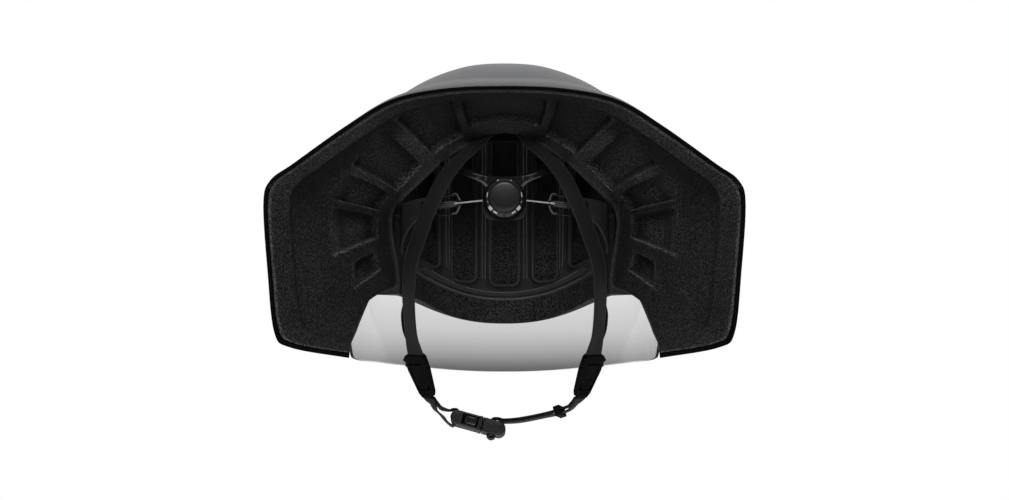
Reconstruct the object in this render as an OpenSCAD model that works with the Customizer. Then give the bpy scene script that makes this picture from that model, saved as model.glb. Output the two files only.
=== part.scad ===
/* [Shell] */
// Width across the rear flares
body_w = 320; // [304:1:336]
// Rear edge behind the middle of the head opening
rear_y = 165; // [158:1:172]
// Nose of the shell ahead of the middle of the head opening
nose_y = 150; // [146:1:154]
// Height of the crown above the brow
crown_h = 182; // [178:1:188]
// Height of the rear edge at its middle
rear_top = 118; // [115:0.5:121]
// Depth of the flare tips below the brow
flare_drop = 63.5; // [58:0.5:68]
// Width of the shell at the temples
temple_w = 216; // [212:1:220]
// Rise of the shell's brow edge at the nose
brow_rise = 12; // [10:0.5:14]
// Where the flares begin, behind the middle
flare_y = 30; // [24:1:36]
// Thickness of the shell
shell_t = 2.2; // [1.8:0.1:2.6]
// Width of the shell's intake slots over the nose
vent_w = 7; // [5:0.5:9]
// Height of the middle intake slot
vent_h = 30; // [24:1:34]

/* [Foam liner] */
// Gap between shell and foam
bond_gap = 0.3; // [0.2:0.05:0.5]
// Foam band between the shell's rear edge and the funnel
rim_band = 5; // [4:0.5:7]
// Rear arch of the head cavity behind the middle
arch_y = 60; // [56:1:64]
// Width of the rear arch
arch_w = 157; // [153:1:160]
// Height of the rear arch
arch_h = 110; // [107:1:112]
// Width of the head cavity
cavity_w = 154; // [151:1:157]
// Height of the head cavity
cavity_h = 134; // [131:1:137]
// Front of the head cavity ahead of the middle
cavity_front = 110; // [108:1:112]
// Depth of the rear pockets at the outer end
pocket_deep = 9; // [6:0.5:10]
// Depth of the rear pockets at the lip
pocket_lip = 4.5; // [3:0.5:6]
// Depth of the air channels over the head
channel_d = 15; // [10:1:18]

/* [Front pad] */
// Thickness of the moulded pad
pad_t = 6; // [4:0.5:7]
// Lowest edge of the pad above the brow
pad_low = 17; // [14:0.5:20]
// Width of the middle slot between the pad fingers
mid_slot_w = 20; // [17:0.5:22]
// Width of the next slots
side_slot_w = 17; // [14:0.5:18]
// Width of the outer slots
outer_slot_w = 15; // [12:0.5:16]
// Distance from the middle slot to the next one
side_slot_x = 31.5; // [30:0.5:33]
// Distance from the middle slot to the outer one
outer_slot_x = 59; // [57:0.5:60]

/* [Visor] */
// Thickness of the lens
lens_t = 2; // [1.6:0.1:2.4]
// Gap between the shell's nose and the lens
lens_gap = 5; // [4.5:0.5:7]
// Lower edge of the lens below the brow
lens_drop = 32; // [28:1:36]
// Upper edge of the lens above the brow
lens_top = 50; // [44:1:54]
// Radius of the magnets
magnet_r = 6; // [4:0.5:7]
// Thickness of each magnet
magnet_t = 1.6; // [1.2:0.1:2]
// Air gap between paired magnets
magnet_gap = 0.4; // [0.3:0.1:0.6]

/* [Fit dial] */
// Height of the dial above the brow
dial_z = 53.4; // [51:0.2:56]
// Back face of the dial's base behind the middle
dial_y = 108; // [106:0.5:110]
// Radius of the dial's base
base_r = 14.2; // [13:0.2:15]
// Thickness of the dial's base
base_t = 7; // [6:0.5:8]
// Radius of the turning ring
knob_r = 13; // [12:0.2:13.6]
// Height of the turning ring
knob_h = 9; // [7:0.5:11]
// Radius of the domed cap
cap_r = 11.2; // [10.4:0.2:11.6]
// Radius of the lace spool
spool_r = 5; // [4:0.25:6]
// Running gap of turning parts
run_gap = 0.05; // [0.04:0.01:0.08]
// Diameter of the lace
lace_d = 1.2; // [1:0.1:1.4]

/* [Fit band] */
// Temple rivets behind the middle
rivet_y = 45; // [43:0.5:47]
// Height of the temple rivets above the brow
rivet_z = 54.3; // [52:0.5:56]
// Radius of the rivets
rivet_r = 2.2; // [1.8:0.1:2.6]
// Thickness of the fit band
band_t = 1.6; // [1.2:0.1:2]
// Height of the band at the temple
band_h = 32; // [28:1:34]
// Height of the band at the lace guide
band_end_h = 12; // [10:0.5:13]
// Diameter of the arms of the yoke
arm_d = 5; // [4:0.5:6]

/* [Straps] */
// Width of the webbing
web_w = 14; // [12:0.5:16]
// Thickness of the webbing
web_t = 1.3; // [1:0.1:1.6]
// Length of the strap dividers
divider_l = 34; // [30:1:38]
// Width of the strap dividers
divider_w = 22; // [20:0.5:24]
// Thickness of the strap dividers
divider_t = 5; // [4.5:0.25:6]

/* [Buckle] */
// Width of the buckle
buckle_w = 24; // [22:0.5:26]
// Thickness of the buckle
buckle_t = 10; // [9:0.5:11]
// Length of the socket half
socket_l = 23; // [21:0.5:25]
// Length of the block on the plug half
plug_l = 17; // [15:0.5:19]
// Wall of the socket
socket_wall = 1.8; // [1.6:0.1:2]
// Clearance between plug and socket
plug_gap = 0.3; // [0.25:0.05:0.4]

/* [Hidden] */
$fn = 48;

// Rows across the shell from edge to edge
outline_steps = 36;
// Rows along the shell behind and ahead of its widest dome
rear_rows = 10;
front_rows = 9;
// Where the dome starts to close towards the nose
swell_y = 45;
// How square the nose is, 2 being an ellipse
nose_power = 2.1;
// How square the head cavity is
cavity_power = 2.3;
// Middle of the head cavity's rounded front
cavity_mid = 15;
// How fast the funnel narrows towards the arch
funnel_power = 1.6;
// Far below everything, for cuts that leave the foam open
below = 130;

// Half outline of the rear edge: shares of the half width, and of the height above or below the brow
rear_shape = [[0, 1], [0.25, 0.985], [0.473, 0.921], [0.669, 0.762], [0.878, 0.557], [0.972, 0.462],
    [1, 0.33], [0.978, -0.107], [0.947, -0.74], [0.88, -0.9], [0.66, -1]];
// Half outline of the dome over the head: an ellipse on straight sides
dome_side = 0.505;
dome_shape = concat(
    [for (i = [0:6]) [sin(15 * i), dome_side + (1 - dome_side) * cos(15 * i)]],
    [[0.99, 0.27], [0.955, 0.07], [0.92, 0.012], [0.87, 0]]);
// Half outline of the rear arch
arch_shape = [[0, 1], [0.217, 0.964], [0.42, 0.886], [0.611, 0.777], [0.79, 0.655], [0.943, 0.545],
    [1, 0.436], [0.981, 0.273], [0.943, 0.109], [0.962, 0], [1.17, -0.073]];
// Half outline of the head cavity over the ears
cavity_side = 0.42;
cavity_shape = concat(
    [for (i = [0:6]) [sin(15 * i), cavity_side + (1 - cavity_side) * cos(15 * i)]],
    [[0.995, 0.3], [0.985, 0.13], [0.965, 0], [0.98, -0.2]]);

function lerp(a, b, t) = a + (b - a) * t;
function clamp(t) = min(max(t, 0), 1);
function smooth(t) = let(c = clamp(t)) c * c * (3 - 2 * c);
function unit(v) = v / max(norm(v), 1e-6);
function back_to_front(list) = [for (i = [len(list) - 1:-1:0]) list[i]];
function spline(a, b, c, d, f) = 0.5 * (2 * b + (c - a) * f
    + (2 * a - 5 * b + 4 * c - d) * f * f + (3 * b - a - 3 * c + d) * f * f * f);

// Point at share t of a half outline that starts on the middle plane
function half_at(p, t) =
    let(s = clamp(t) * (len(p) - 1), i = min(floor(s), len(p) - 2), b = p[i], c = p[i + 1])
    spline(i == 0 ? [-c[0], c[1]] : p[i - 1], b, c, p[min(i + 2, len(p) - 1)], s - i);

// Point at share t of a free curve through the points
function path_at(p, t) =
    let(s = clamp(t) * (len(p) - 1), i = min(floor(s), len(p) - 2))
    spline(p[max(i - 1, 0)], p[i], p[i + 1], p[min(i + 2, len(p) - 1)], s - i);

// Outer form, with everything drawn in by inset
function flare_share(y) = pow(clamp((-flare_y - y) / (rear_y - flare_y)), 1.25);
function nose_share(y, inset) =
    y <= swell_y ? 1 : pow(max(0, 1 - pow((y - swell_y) / (nose_y - inset - swell_y), nose_power)), 1 / nose_power);
function brow_z(y) = brow_rise * pow(clamp((y + flare_y) / (nose_y + flare_y)), 0.7);
function crown_z(y, inset) =
    y > swell_y
        ? lerp(brow_rise, crown_h - inset, nose_share(y, inset))
        : crown_h - inset - (crown_h - rear_top) * pow((swell_y - y) / (swell_y + rear_y), 1.8);
function half_width(y, inset) =
    (lerp(temple_w, body_w, flare_share(y)) / 2 - inset) * nose_share(y, inset);
function outer_shape(y, inset) =
    let(f = flare_share(y), w = half_width(y, inset), low = brow_z(y), top = crown_z(y, inset))
    [for (i = [0:len(dome_shape) - 1])
        let(q = lerp(dome_shape[i], rear_shape[i], f))
        [w * q[0], q[1] < 0 ? (flare_drop - inset) * q[1] : low + (top - low) * q[1]]];
function row_at(shape, y, steps) = [for (j = [0:steps])
    let(s = 2 * j / steps - 1, p = half_at(shape, abs(s)))
    [s < 0 ? -p[0] : p[0], y, p[1]]];
function outer_rows(inset) = concat(
    [for (i = [0:rear_rows]) lerp(-rear_y, swell_y, i / rear_rows)],
    [for (i = [1:front_rows - 1])
        swell_y + (nose_y - inset - swell_y) * pow(sin(90 * i / front_rows), 2 / nose_power)]);
function outer_grid(inset) = [for (y = outer_rows(inset)) row_at(outer_shape(y, inset), y, outline_steps)];
function nose_tip(inset) = [0, nose_y - inset, brow_rise];

// Funnel behind the arch: u runs round the edge from the top, v runs from the rear edge to the arch
rim_shape = outer_shape(-rear_y, rim_band);
arch_outline = [for (q = arch_shape) [q[0] * arch_w / 2, q[1] * arch_h]];
function funnel_at(u, v) =
    let(a = half_at(rim_shape, abs(u)), b = half_at(arch_outline, abs(u)),
        m = 1 - pow(1 - clamp(v), funnel_power), p = lerp(a, b, m))
    [u < 0 ? -p[0] : p[0], lerp(-rear_y, -arch_y, v), p[1]];

// Head cavity, drawn in by inset
function cavity_share(y, inset) =
    y <= cavity_mid ? 1
        : pow(max(0, 1 - pow((y - cavity_mid) / (cavity_front - inset - cavity_mid), cavity_power)), 1 / cavity_power);
function cavity_outline(y, inset) =
    let(g = smooth((y + arch_y) / (arch_y + 5)), k = cavity_share(y, inset),
        w = lerp(arch_w, cavity_w, g) / 2 - inset, h = lerp(arch_h, cavity_h, g) - inset)
    [for (i = [0:len(arch_shape) - 1])
        let(q = lerp(arch_shape[i], cavity_shape[i], g)) [w * q[0] * k, h * q[1] * (q[1] > 0 ? k : 1)]];
function cavity_rows(from, inset) = concat(
    [for (y = [-arch_y - 2, -arch_y + 6, -40, -22, -4, cavity_mid]) if (y >= from) y],
    [for (a = [18, 34, 48, 60, 71, 81])
        cavity_mid + (cavity_front - inset - cavity_mid) * pow(sin(a), 2 / cavity_power)]);
function cavity_x(y, z) =
    let(p = cavity_outline(y, 0))
    lookup(z, [for (i = [len(p) - 2:-1:5]) [p[i][1], p[i][0]]]);

// Triangles of one layer of a grid, whose last row may be a single point
function layer(rows, cols, start, tipped) = [for (i = [0:rows - 2]) for (j = [0:cols - 2])
    let(a = start + i * cols + j, tip = tipped && i == rows - 2,
        c = tip ? start + (rows - 1) * cols : a + cols + 1)
    each (tip ? [[a, a + 1, c]] : [[a, a + 1, c], [a, c, a + cols]])];
function turned(faces) = [for (f = faces) back_to_front(f)];
function flat(rows) = [for (r = rows) each r];
function strip(a, b, c, d) = [[a, b, c], [a, c, d]];

// Skin between two grids of points
module skin(outer, inner) {
    rows = len(outer);
    cols = len(outer[0]);
    n = rows * cols;
    last = (rows - 1) * cols;
    faces = concat(
        turned(layer(rows, cols, 0, false)),
        layer(rows, cols, n, false),
        [for (j = [0:cols - 2]) each strip(j, j + 1, n + j + 1, n + j)],
        [for (j = [0:cols - 2]) each strip(last + j + 1, last + j, n + last + j, n + last + j + 1)],
        [for (i = [0:rows - 2]) each strip((i + 1) * cols, i * cols, n + i * cols, n + (i + 1) * cols)],
        [for (i = [0:rows - 2])
            let(a = i * cols + cols - 1, b = a + cols) each strip(a, b, n + b, n + a)]);
    polyhedron(concat(flat(outer), flat(inner)), faces, convexity = 10);
}

// The same skin closed at the nose, where both layers end in a point
module nosed_skin(outer, inner, tip, inner_tip) {
    rows = len(outer) + 1;
    cols = len(outer[0]);
    n = (rows - 1) * cols + 1;
    end = n - 1;
    low = (rows - 2) * cols;
    faces = concat(
        turned(layer(rows, cols, 0, true)),
        layer(rows, cols, n, true),
        [for (j = [0:cols - 2]) each strip(j, j + 1, n + j + 1, n + j)],
        [for (i = [0:rows - 3]) each strip((i + 1) * cols, i * cols, n + i * cols, n + (i + 1) * cols)],
        strip(end, low, n + low, n + end),
        [for (i = [0:rows - 3])
            let(a = i * cols + cols - 1, b = a + cols) each strip(a, b, n + b, n + a)],
        strip(low + cols - 1, end, n + end, n + low + cols - 1));
    polyhedron(concat(flat(outer), [tip], flat(inner), [inner_tip]), faces, convexity = 10);
}

// Solid through closed rings, with flat ends or a pointed one
module loft(rings, tip = undef) {
    cols = len(rings[0]);
    tipped = !is_undef(tip);
    rows = len(rings) + (tipped ? 1 : 0);
    sides = [for (i = [0:rows - 2]) for (j = [0:cols - 1])
        let(k = (j + 1) % cols, a = i * cols + j, b = i * cols + k, top = tipped && i == rows - 2,
            c = top ? (rows - 1) * cols : b + cols)
        each (top ? [[c, b, a]] : [[c, b, a], [a + cols, c, a]])];
    ends = concat([[for (j = [0:cols - 1]) j]],
        tipped ? [] : [[for (j = [cols - 1:-1:0]) (rows - 1) * cols + j]]);
    polyhedron(concat(flat(rings), tipped ? [tip] : []), concat(sides, ends), convexity = 10);
}

// Flat band swept along points, with a width direction at each
function sweep_dir(p, i) = unit(p[min(i + 1, len(p) - 1)] - p[max(i - 1, 0)]);
module ribbon(p, across, w, t) {
    rings = [for (i = [0:len(p) - 1])
        let(d = sweep_dir(p, i), a = unit(across[i] - d * (across[i] * d)), n = cross(d, a))
        [p[i] - a * w / 2 - n * t / 2, p[i] + a * w / 2 - n * t / 2,
            p[i] + a * w / 2 + n * t / 2, p[i] - a * w / 2 + n * t / 2]];
    loft(rings);
}

// Round tube swept along points
module tube(p, d, sides = 8) {
    rings = [for (i = [0:len(p) - 1])
        let(f = sweep_dir(p, i), a = unit(cross(f, [0.13, 0.21, 1])), b = cross(f, a))
        [for (k = [0:sides - 1]) p[i] + d / 2 * (a * cos(360 * k / sides) + b * sin(360 * k / sides))]];
    loft(rings);
}

// Rounded bar between two points
module bar(a, b, d, e) {
    hull() {
        translate(a) sphere(d = d, $fn = 10);
        translate(b) sphere(d = e, $fn = 10);
    }
}

module both_sides() {
    children();
    mirror([1, 0, 0]) children();
}

// Height of the outer form over x at station y, and the station ahead of the middle where it is z high
function top_at(x, y) =
    let(p = outer_shape(y, 0))
    x < p[6][0] ? lookup(x, [for (i = [0:6]) p[i]]) : brow_rise;
function front_at(x, z) = lookup(z, [for (y = [nose_y - 1:-3:swell_y]) [top_at(abs(x), y), y]]);

// Intake slots over the nose, one ahead of each air channel
vent_low = lens_top + 14;
vent_pitch = 0.62 * side_slot_x;
vent_flare = 1.6;
function vent_ends(i) =
    let(h = vent_h - 3 * abs(i))
    [for (z = [vent_low + vent_w / 2, vent_low + h - vent_w / 2]) [i * vent_pitch, front_at(i * vent_pitch, z), z]];
module vent_cut(i) {
    hull() {
        for (e = vent_ends(i))
            translate(e - [0, 2 * shell_t + 6, 0]) rotate([-90, 0, 0]) cylinder(d = vent_w, h = 20, $fn = 12);
    }
    // The mouth widens outwards
    hull() {
        for (e = vent_ends(i))
            translate(e - [0, shell_t / 2, 0])
                rotate([-90, 0, 0])
                    cylinder(r1 = vent_w / 2, r2 = vent_w / 2 + 2 * vent_flare, h = shell_t, $fn = 12);
    }
}

module outer_shell() {
    color([0.09, 0.09, 0.1])
    difference() {
        nosed_skin(outer_grid(0), outer_grid(shell_t), nose_tip(0), nose_tip(shell_t));
        for (i = [-2:2])
            vent_cut(i);
    }
}

// Foam ring with its keel drawn down to the brow in front
function foam_keel(y) = brow_z(y) - 9 * smooth(1 - abs(y - 107) / 40);
keel_steps = [0.35, 0.7];
function keel_curve(end, keel, t) = [lerp(end[0], keel[0], t), end[1], lerp(end[2], keel[2], t * (2 - t))];
function foam_ring(y, inset) =
    let(row = row_at(outer_shape(y, inset), y, outline_steps),
        keel = [0.01, y, min(foam_keel(y), brow_z(y) - flare_share(y) * (flare_drop - inset))])
    concat(row, [for (t = keel_steps) keel_curve(row[outline_steps], keel, t)], [keel],
        [for (t = back_to_front(keel_steps)) keel_curve(row[0], keel, t)]);

// Rear pockets: corners round the edge and along the funnel, outer edge first
pocket_corners = [
    [[-0.085, 0.175], [0.085, 0.175], [0.115, 0.63], [-0.115, 0.63]],
    [[0.105, 0.15], [0.23, 0.17], [0.272, 0.745], [0.15, 0.745]],
    [[0.268, 0.18], [0.375, 0.27], [0.45, 0.8], [0.325, 0.75]],
    [[0.412, 0.31], [0.562, 0.37], [0.58, 0.73], [0.484, 0.77]],
    [[0.596, 0.37], [0.7, 0.347], [0.676, 0.71], [0.609, 0.727]],
    [[0.734, 0.49], [0.8, 0.46], [0.779, 0.686], [0.722, 0.663]]];
pocket_steps = 4;
function funnel_normal(u, v) =
    let(du = funnel_at(u + 0.01, v) - funnel_at(u - 0.01, v), dv = funnel_at(u, v + 0.01) - funnel_at(u, v - 0.01))
    unit(cross(du, dv));
module pocket(c) {
    grid = [for (i = [0:pocket_steps]) [for (j = [0:pocket_steps])
        let(a = i / pocket_steps, b = j / pocket_steps)
        lerp(lerp(c[0], c[1], b), lerp(c[3], c[2], b), a)]];
    // The floor is drawn in a little from the mouth, so the walls have draft
    mid = (c[0] + c[1] + c[2] + c[3]) / 4;
    floor_grid = [for (i = [0:pocket_steps]) [for (q = grid[i])
        let(s = lerp(q, mid, 0.1), d = lerp(pocket_deep, pocket_lip, i / pocket_steps))
        funnel_at(s[0], s[1]) + funnel_normal(s[0], s[1]) * d]];
    mouth_grid = [for (r = grid) [for (q = r) funnel_at(q[0], q[1]) - funnel_normal(q[0], q[1]) * 3]];
    skin(floor_grid, mouth_grid);
}

funnel_rows = [-0.06, 0, 0.12, 0.26, 0.42, 0.6, 0.8, 1, 1.03];
function open_ring(row) =
    let(a = row[0], b = row[len(row) - 1])
    concat(row, [[b[0], b[1], -below], [a[0], a[1], -below]]);
module funnel_space() {
    loft([for (v = funnel_rows)
        open_ring([for (j = [0:outline_steps]) funnel_at(2 * j / outline_steps - 1, v)])]);
}
module cavity_space(inset, from = -200) {
    loft([for (y = cavity_rows(from, inset))
        open_ring(row_at(cavity_outline(y, inset), y, outline_steps))]);
}

// Air channels over the head, one above each slot of the front pad: middle, next and outer
channel_x = [0, side_slot_x, outer_slot_x];
channel_w = [mid_slot_w, side_slot_w, outer_slot_w] - [2, 2, 2];
channel_low = [62, 62, 56];
channel_back = -26;
channel_front = 86;
channel_corner = 3;
module channel(i) {
    w = channel_w[abs(i)];
    hull() {
        for (s = [-1, 1])
            translate([s * (w / 2 - channel_corner), channel_back, channel_low[abs(i)]])
                cylinder(r = channel_corner, h = crown_h, $fn = 12);
        translate([-w / 2, 0, channel_low[abs(i)]]) cube([w, channel_front, crown_h]);
    }
}
// Passage that climbs from each intake slot to the front end of its channel
passage_top = [110, 106, 84];
module passage(i) {
    ends = vent_ends(i);
    w = vent_w + 2 * bond_gap;
    hull() {
        for (e = ends)
            translate(e - [0, shell_t + 3, 0]) rotate([-90, 0, 0]) cylinder(d = w, h = 6, $fn = 12);
        for (z = [-2, 8])
            translate([sign(i) * channel_x[abs(i)], channel_front - 5, passage_top[abs(i)] + z])
                rotate([-90, 0, 0])
                    cylinder(d = w, h = 6, $fn = 12);
    }
}

module eps_liner() {
    inset = shell_t + bond_gap;
    color([0.12, 0.12, 0.12])
    difference() {
        loft([for (y = outer_rows(inset)) foam_ring(y, inset)], nose_tip(inset) + [0, 0, 2]);
        funnel_space();
        cavity_space(0);
        for (c = pocket_corners) {
            pocket(c);
            if (c[0][0] > 0)
                mirror([1, 0, 0]) pocket(c);
        }
        intersection() {
            cavity_space(-channel_d);
            for (i = [-2:2])
                translate([sign(i) * channel_x[abs(i)], 0, 0]) channel(i);
        }
        for (i = [-2:2])
            passage(i);
        both_sides() {
            translate([cavity_x(-rivet_y, rivet_z) - 6, -rivet_y, rivet_z])
                rotate([0, 90, 0])
                    cylinder(r = rivet_r + bond_gap, h = 20, $fn = 24);
            hull() {
                translate([84, -98, -12]) cylinder(r = 5, h = 8, $fn = 12);
                translate([78, -70, -8]) cylinder(r = 4, h = 8, $fn = 12);
            }
        }
    }
}

// Front pad: a brow band with four fingers between round-ended slots
module pad_slot(x, w, low) {
    hull() {
        translate([x, low + w / 2]) circle(d = w, $fn = 20);
        translate([x, crown_h]) circle(d = w, $fn = 20);
    }
}
function pad_edge(x) = pad_low + x * x / 300;
pad_half = cavity_w / 2 - 8;
module front_pad() {
    color([0.07, 0.07, 0.075])
    intersection() {
        difference() {
            cavity_space(bond_gap, -30);
            cavity_space(bond_gap + pad_t, -40);
        }
        translate([0, 130, 0])
            rotate([90, 0, 0])
                linear_extrude(160)
                    difference() {
                        polygon(concat(
                            [for (i = [-8:8]) [pad_half * i / 8, pad_edge(pad_half * i / 8)]],
                            [[pad_half, 74], [pad_half - 14, crown_h], [-pad_half + 14, crown_h], [-pad_half, 74]]));
                        pad_slot(0, mid_slot_w, pad_low + 8);
                        for (s = [-1, 1]) {
                            pad_slot(s * side_slot_x, side_slot_w, pad_low + 13);
                            pad_slot(s * outer_slot_x, outer_slot_w, pad_low + 21);
                        }
                    }
    }
}

// Visor: shares a across from side to side and h from the lower to the upper edge
lens_mid_y = 15;
lens_side_gap = 6;
lens_power = 2 / 2.4;
lens_cols = 30;
lens_rows = 8;
function lens_low(a) = -lens_drop - 4 * a * a + 30 * pow(clamp((abs(a) - 0.8) / 0.2), 2);
function lens_high(a) = lens_top - 12 * a * a - 12 * pow(clamp((abs(a) - 0.85) / 0.15), 2);
function lens_bow(z) = pow((z - 15) / 50, 2);
function lens_at(angle, z, out) =
    let(rx = (temple_w / 2 + lens_side_gap) * (1 - 0.02 * lens_bow(z)) + out,
        ry = (nose_y + lens_gap - lens_mid_y) * (1 - 0.055 * lens_bow(z)) + out)
    [sign(angle) * rx * pow(abs(sin(angle)), lens_power), lens_mid_y + ry * pow(cos(angle), lens_power), z];
function lens_grid(out) = [for (i = [0:lens_rows]) [for (j = [0:lens_cols])
    let(a = 2 * j / lens_cols - 1) lens_at(87 * a, lerp(lens_high(a), lens_low(a), i / lens_rows), out)]];
// Inside of the lens beside a point on the shell's flank
function lens_side_x(y, z) =
    let(c = pow((y - lens_mid_y) / (lens_at(0, z, 0)[1] - lens_mid_y), 1 / lens_power))
    lens_at(acos(c), z, 0)[0];
module visor_lens() {
    color([0.55, 0.55, 0.57, 0.6])
    skin(lens_grid(lens_t), lens_grid(0));
}

// Magnets in pairs: one at each flank and one over the nose
magnet_side_y = 48;
magnet_side_z = 18;
magnet_mid_z = 32;
// How far a flat disc stands off the curved faces behind it
seat_slack = 1.05;
shell_side_x = lookup(magnet_side_z, [for (q = [10:-1:6])
    let(p = outer_shape(magnet_side_y, 0)[q]) [p[1], p[0]]]);
shell_nose_y = swell_y + (nose_y - swell_y)
    * pow(1 - pow((magnet_mid_z - brow_rise) / (crown_h - brow_rise), nose_power), 1 / nose_power);
side_pair_x = lens_side_x(magnet_side_y, magnet_side_z) - seat_slack;
nose_pair_y = lens_at(0, magnet_mid_z, 0)[1] - seat_slack;
module disc(at, turn, h) {
    translate(at) rotate(turn) cylinder(r = magnet_r, h = h);
}
module visor_magnets() {
    color([0.2, 0.2, 0.22]) {
        both_sides()
            disc([side_pair_x - magnet_t, magnet_side_y, magnet_side_z], [0, 90, 0], magnet_t);
        disc([0, nose_pair_y - magnet_t, magnet_mid_z], [-90, 0, 0], magnet_t);
    }
}
module shell_magnets() {
    side_top = side_pair_x - magnet_t - magnet_gap;
    nose_top = nose_pair_y - magnet_t - magnet_gap;
    side_foot = shell_side_x + seat_slack;
    nose_foot = shell_nose_y + 0.2;
    color([0.1, 0.1, 0.1]) {
        both_sides()
            disc([side_foot, magnet_side_y, magnet_side_z], [0, 90, 0], side_top - side_foot);
        disc([0, nose_foot, magnet_mid_z], [-90, 0, 0], nose_top - nose_foot);
    }
}

// Temple rivets, which the fit band turns on
band_stand = 4.02;
band_x = cavity_x(-rivet_y, rivet_z) - band_stand;
flap_gap = 0.2;
flap_rise = 4.5;
rivet_head_r = 4.5;
rivet_head_t = 1.6;
module temple_rivets() {
    wall_x = cavity_x(-rivet_y, rivet_z);
    flange_x = cavity_x(-rivet_y, rivet_z + rivet_head_r) - bond_gap;
    head_x = band_x - band_t / 2 - flap_gap;
    collar_x = band_x + band_t / 2 + flap_gap;
    color([0.12, 0.12, 0.12])
    both_sides()
        translate([0, -rivet_y, rivet_z])
            rotate([0, 90, 0])
                rotate_extrude()
                    polygon([[0, head_x - rivet_head_t], [rivet_head_r - 1.5, head_x - rivet_head_t],
                        [rivet_head_r, head_x - 0.7], [rivet_head_r, head_x], [rivet_r, head_x],
                        [rivet_r, collar_x], [rivet_head_r, collar_x], [rivet_head_r, flange_x],
                        [rivet_r, flange_x], [rivet_r, wall_x + 11], [0, wall_x + 11]]);
}

// Arms of the yoke end in studs that ride in curved slots beside the arch
stud_x = 42.5;
stud_y = -57;
stud_z = 86.5;
stud_r = 1.5;
anchor_t = 2.4;
swing_down = -8;
swing_up = 7;
module about_rivets(a) {
    translate([0, -rivet_y, rivet_z]) rotate([a, 0, 0]) translate([0, rivet_y, -rivet_z]) children();
}
module yoke_anchors() {
    color([0.1, 0.1, 0.1])
    both_sides()
        intersection() {
            cavity_space(bond_gap);
            difference() {
                translate([stud_x + 0.4, stud_y - 4, stud_z - 8]) cube([anchor_t, 17, 30]);
                for (a = [swing_down - 2:3:swing_up + 2])
                    hull() {
                        for (b = [0, 3])
                            about_rivets(a + b)
                                translate([stud_x, stud_y, stud_z])
                                    rotate([0, 90, 0])
                                        cylinder(r = stud_r + 0.3, h = 8, $fn = 12);
                    }
            }
        }
}

module rear_strap_anchor() {
    color([0.1, 0.1, 0.1])
    intersection() {
        cavity_space(bond_gap);
        translate([-12, -arch_y - 1, arch_h - 5.3]) cube([24, 9, 20]);
    }
}
front_anchor_y = 32;
front_anchor_z = 9;
module front_strap_anchors() {
    color([0.1, 0.1, 0.1])
    both_sides()
        intersection() {
            cavity_space(bond_gap);
            translate([cavity_w / 2 - 5.2, front_anchor_y, front_anchor_z])
                rotate([0, 90, 0])
                    cylinder(r = web_w / 2, h = 20, $fn = 24);
        }
}

// Dial: everything turns about a line along Y at the dial's height
module at_dial(y) {
    translate([0, y, dial_z]) rotate([90, 0, 0]) children();
}
base_back = -dial_y;
base_front = -dial_y + base_t;
plate_t = 2.4;
turn_gap = 0.3;
ring_floor = 3;
ring_wall = 1.5;
notch_count = 10;
screw_r = 1.5;
screw_head_r = 3;
module dial_base() {
    color([0.06, 0.06, 0.065])
    difference() {
        union() {
            at_dial(base_front) cylinder(r = base_r, h = base_t);
            at_dial(base_front) cylinder(r = base_r + 0.8, h = base_t - 2);
        }
        at_dial(base_front + 1) cylinder(r = spool_r + run_gap, h = base_t + 2);
        for (s = [-1, 1])
            translate([s * spool_r * 0.8, base_front - base_t / 2, dial_z])
                rotate([0, s * 90, 0])
                    cylinder(r = lace_d / 2 + 0.3, h = base_r + 4);
    }
}
module dial_ring() {
    color([0.05, 0.05, 0.055])
    difference() {
        at_dial(base_back - turn_gap) cylinder(r = knob_r, h = knob_h);
        at_dial(base_back - turn_gap - ring_floor) cylinder(r = knob_r - ring_wall, h = knob_h);
        at_dial(base_back) cylinder(r = screw_r + 0.3, h = knob_h);
        for (i = [0:notch_count - 1])
            translate([0, 0, dial_z])
                rotate([0, 360 * (i + 0.5) / notch_count, 0])
                    translate([knob_r - 0.8, base_back - turn_gap - knob_h - 1, -1.2])
                        cube([3, knob_h - 1.5, 2.4]);
    }
}
cap_h = 7.4;
module dial_cap() {
    color([0.16, 0.16, 0.17])
    at_dial(base_back - turn_gap - ring_floor - 0.1)
        rotate_extrude()
            polygon([[0, 3], [screw_head_r + 0.5, 3], [screw_head_r + 0.5, 0], [cap_r, 0], [cap_r, cap_h - 1.4],
                [cap_r - 0.5, cap_h - 0.6], [cap_r - 1.6, cap_h], [cap_r * 0.6, cap_h + 0.7], [0, cap_h + 1]]);
}
module dial_spool() {
    color([0.3, 0.3, 0.3])
    difference() {
        at_dial(base_front - 0.2) cylinder(r = spool_r, h = base_t + turn_gap - 0.2);
        at_dial(base_front + 1) cylinder(r = screw_r + run_gap, h = base_t + 3);
        at_dial(base_front - 2.2)
            rotate_extrude()
                polygon([[spool_r - 1.6, 0], [spool_r + 1, 0], [spool_r + 1, 2.6], [spool_r - 1.6, 2.6]]);
    }
}
module dial_screw() {
    color([0.6, 0.6, 0.62]) {
        at_dial(base_front - 1) cylinder(r = screw_r, h = base_t + turn_gap + ring_floor - 0.9);
        at_dial(base_back - turn_gap - ring_floor - 0.1) cylinder(r = screw_head_r, h = 1.8);
    }
}

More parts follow.
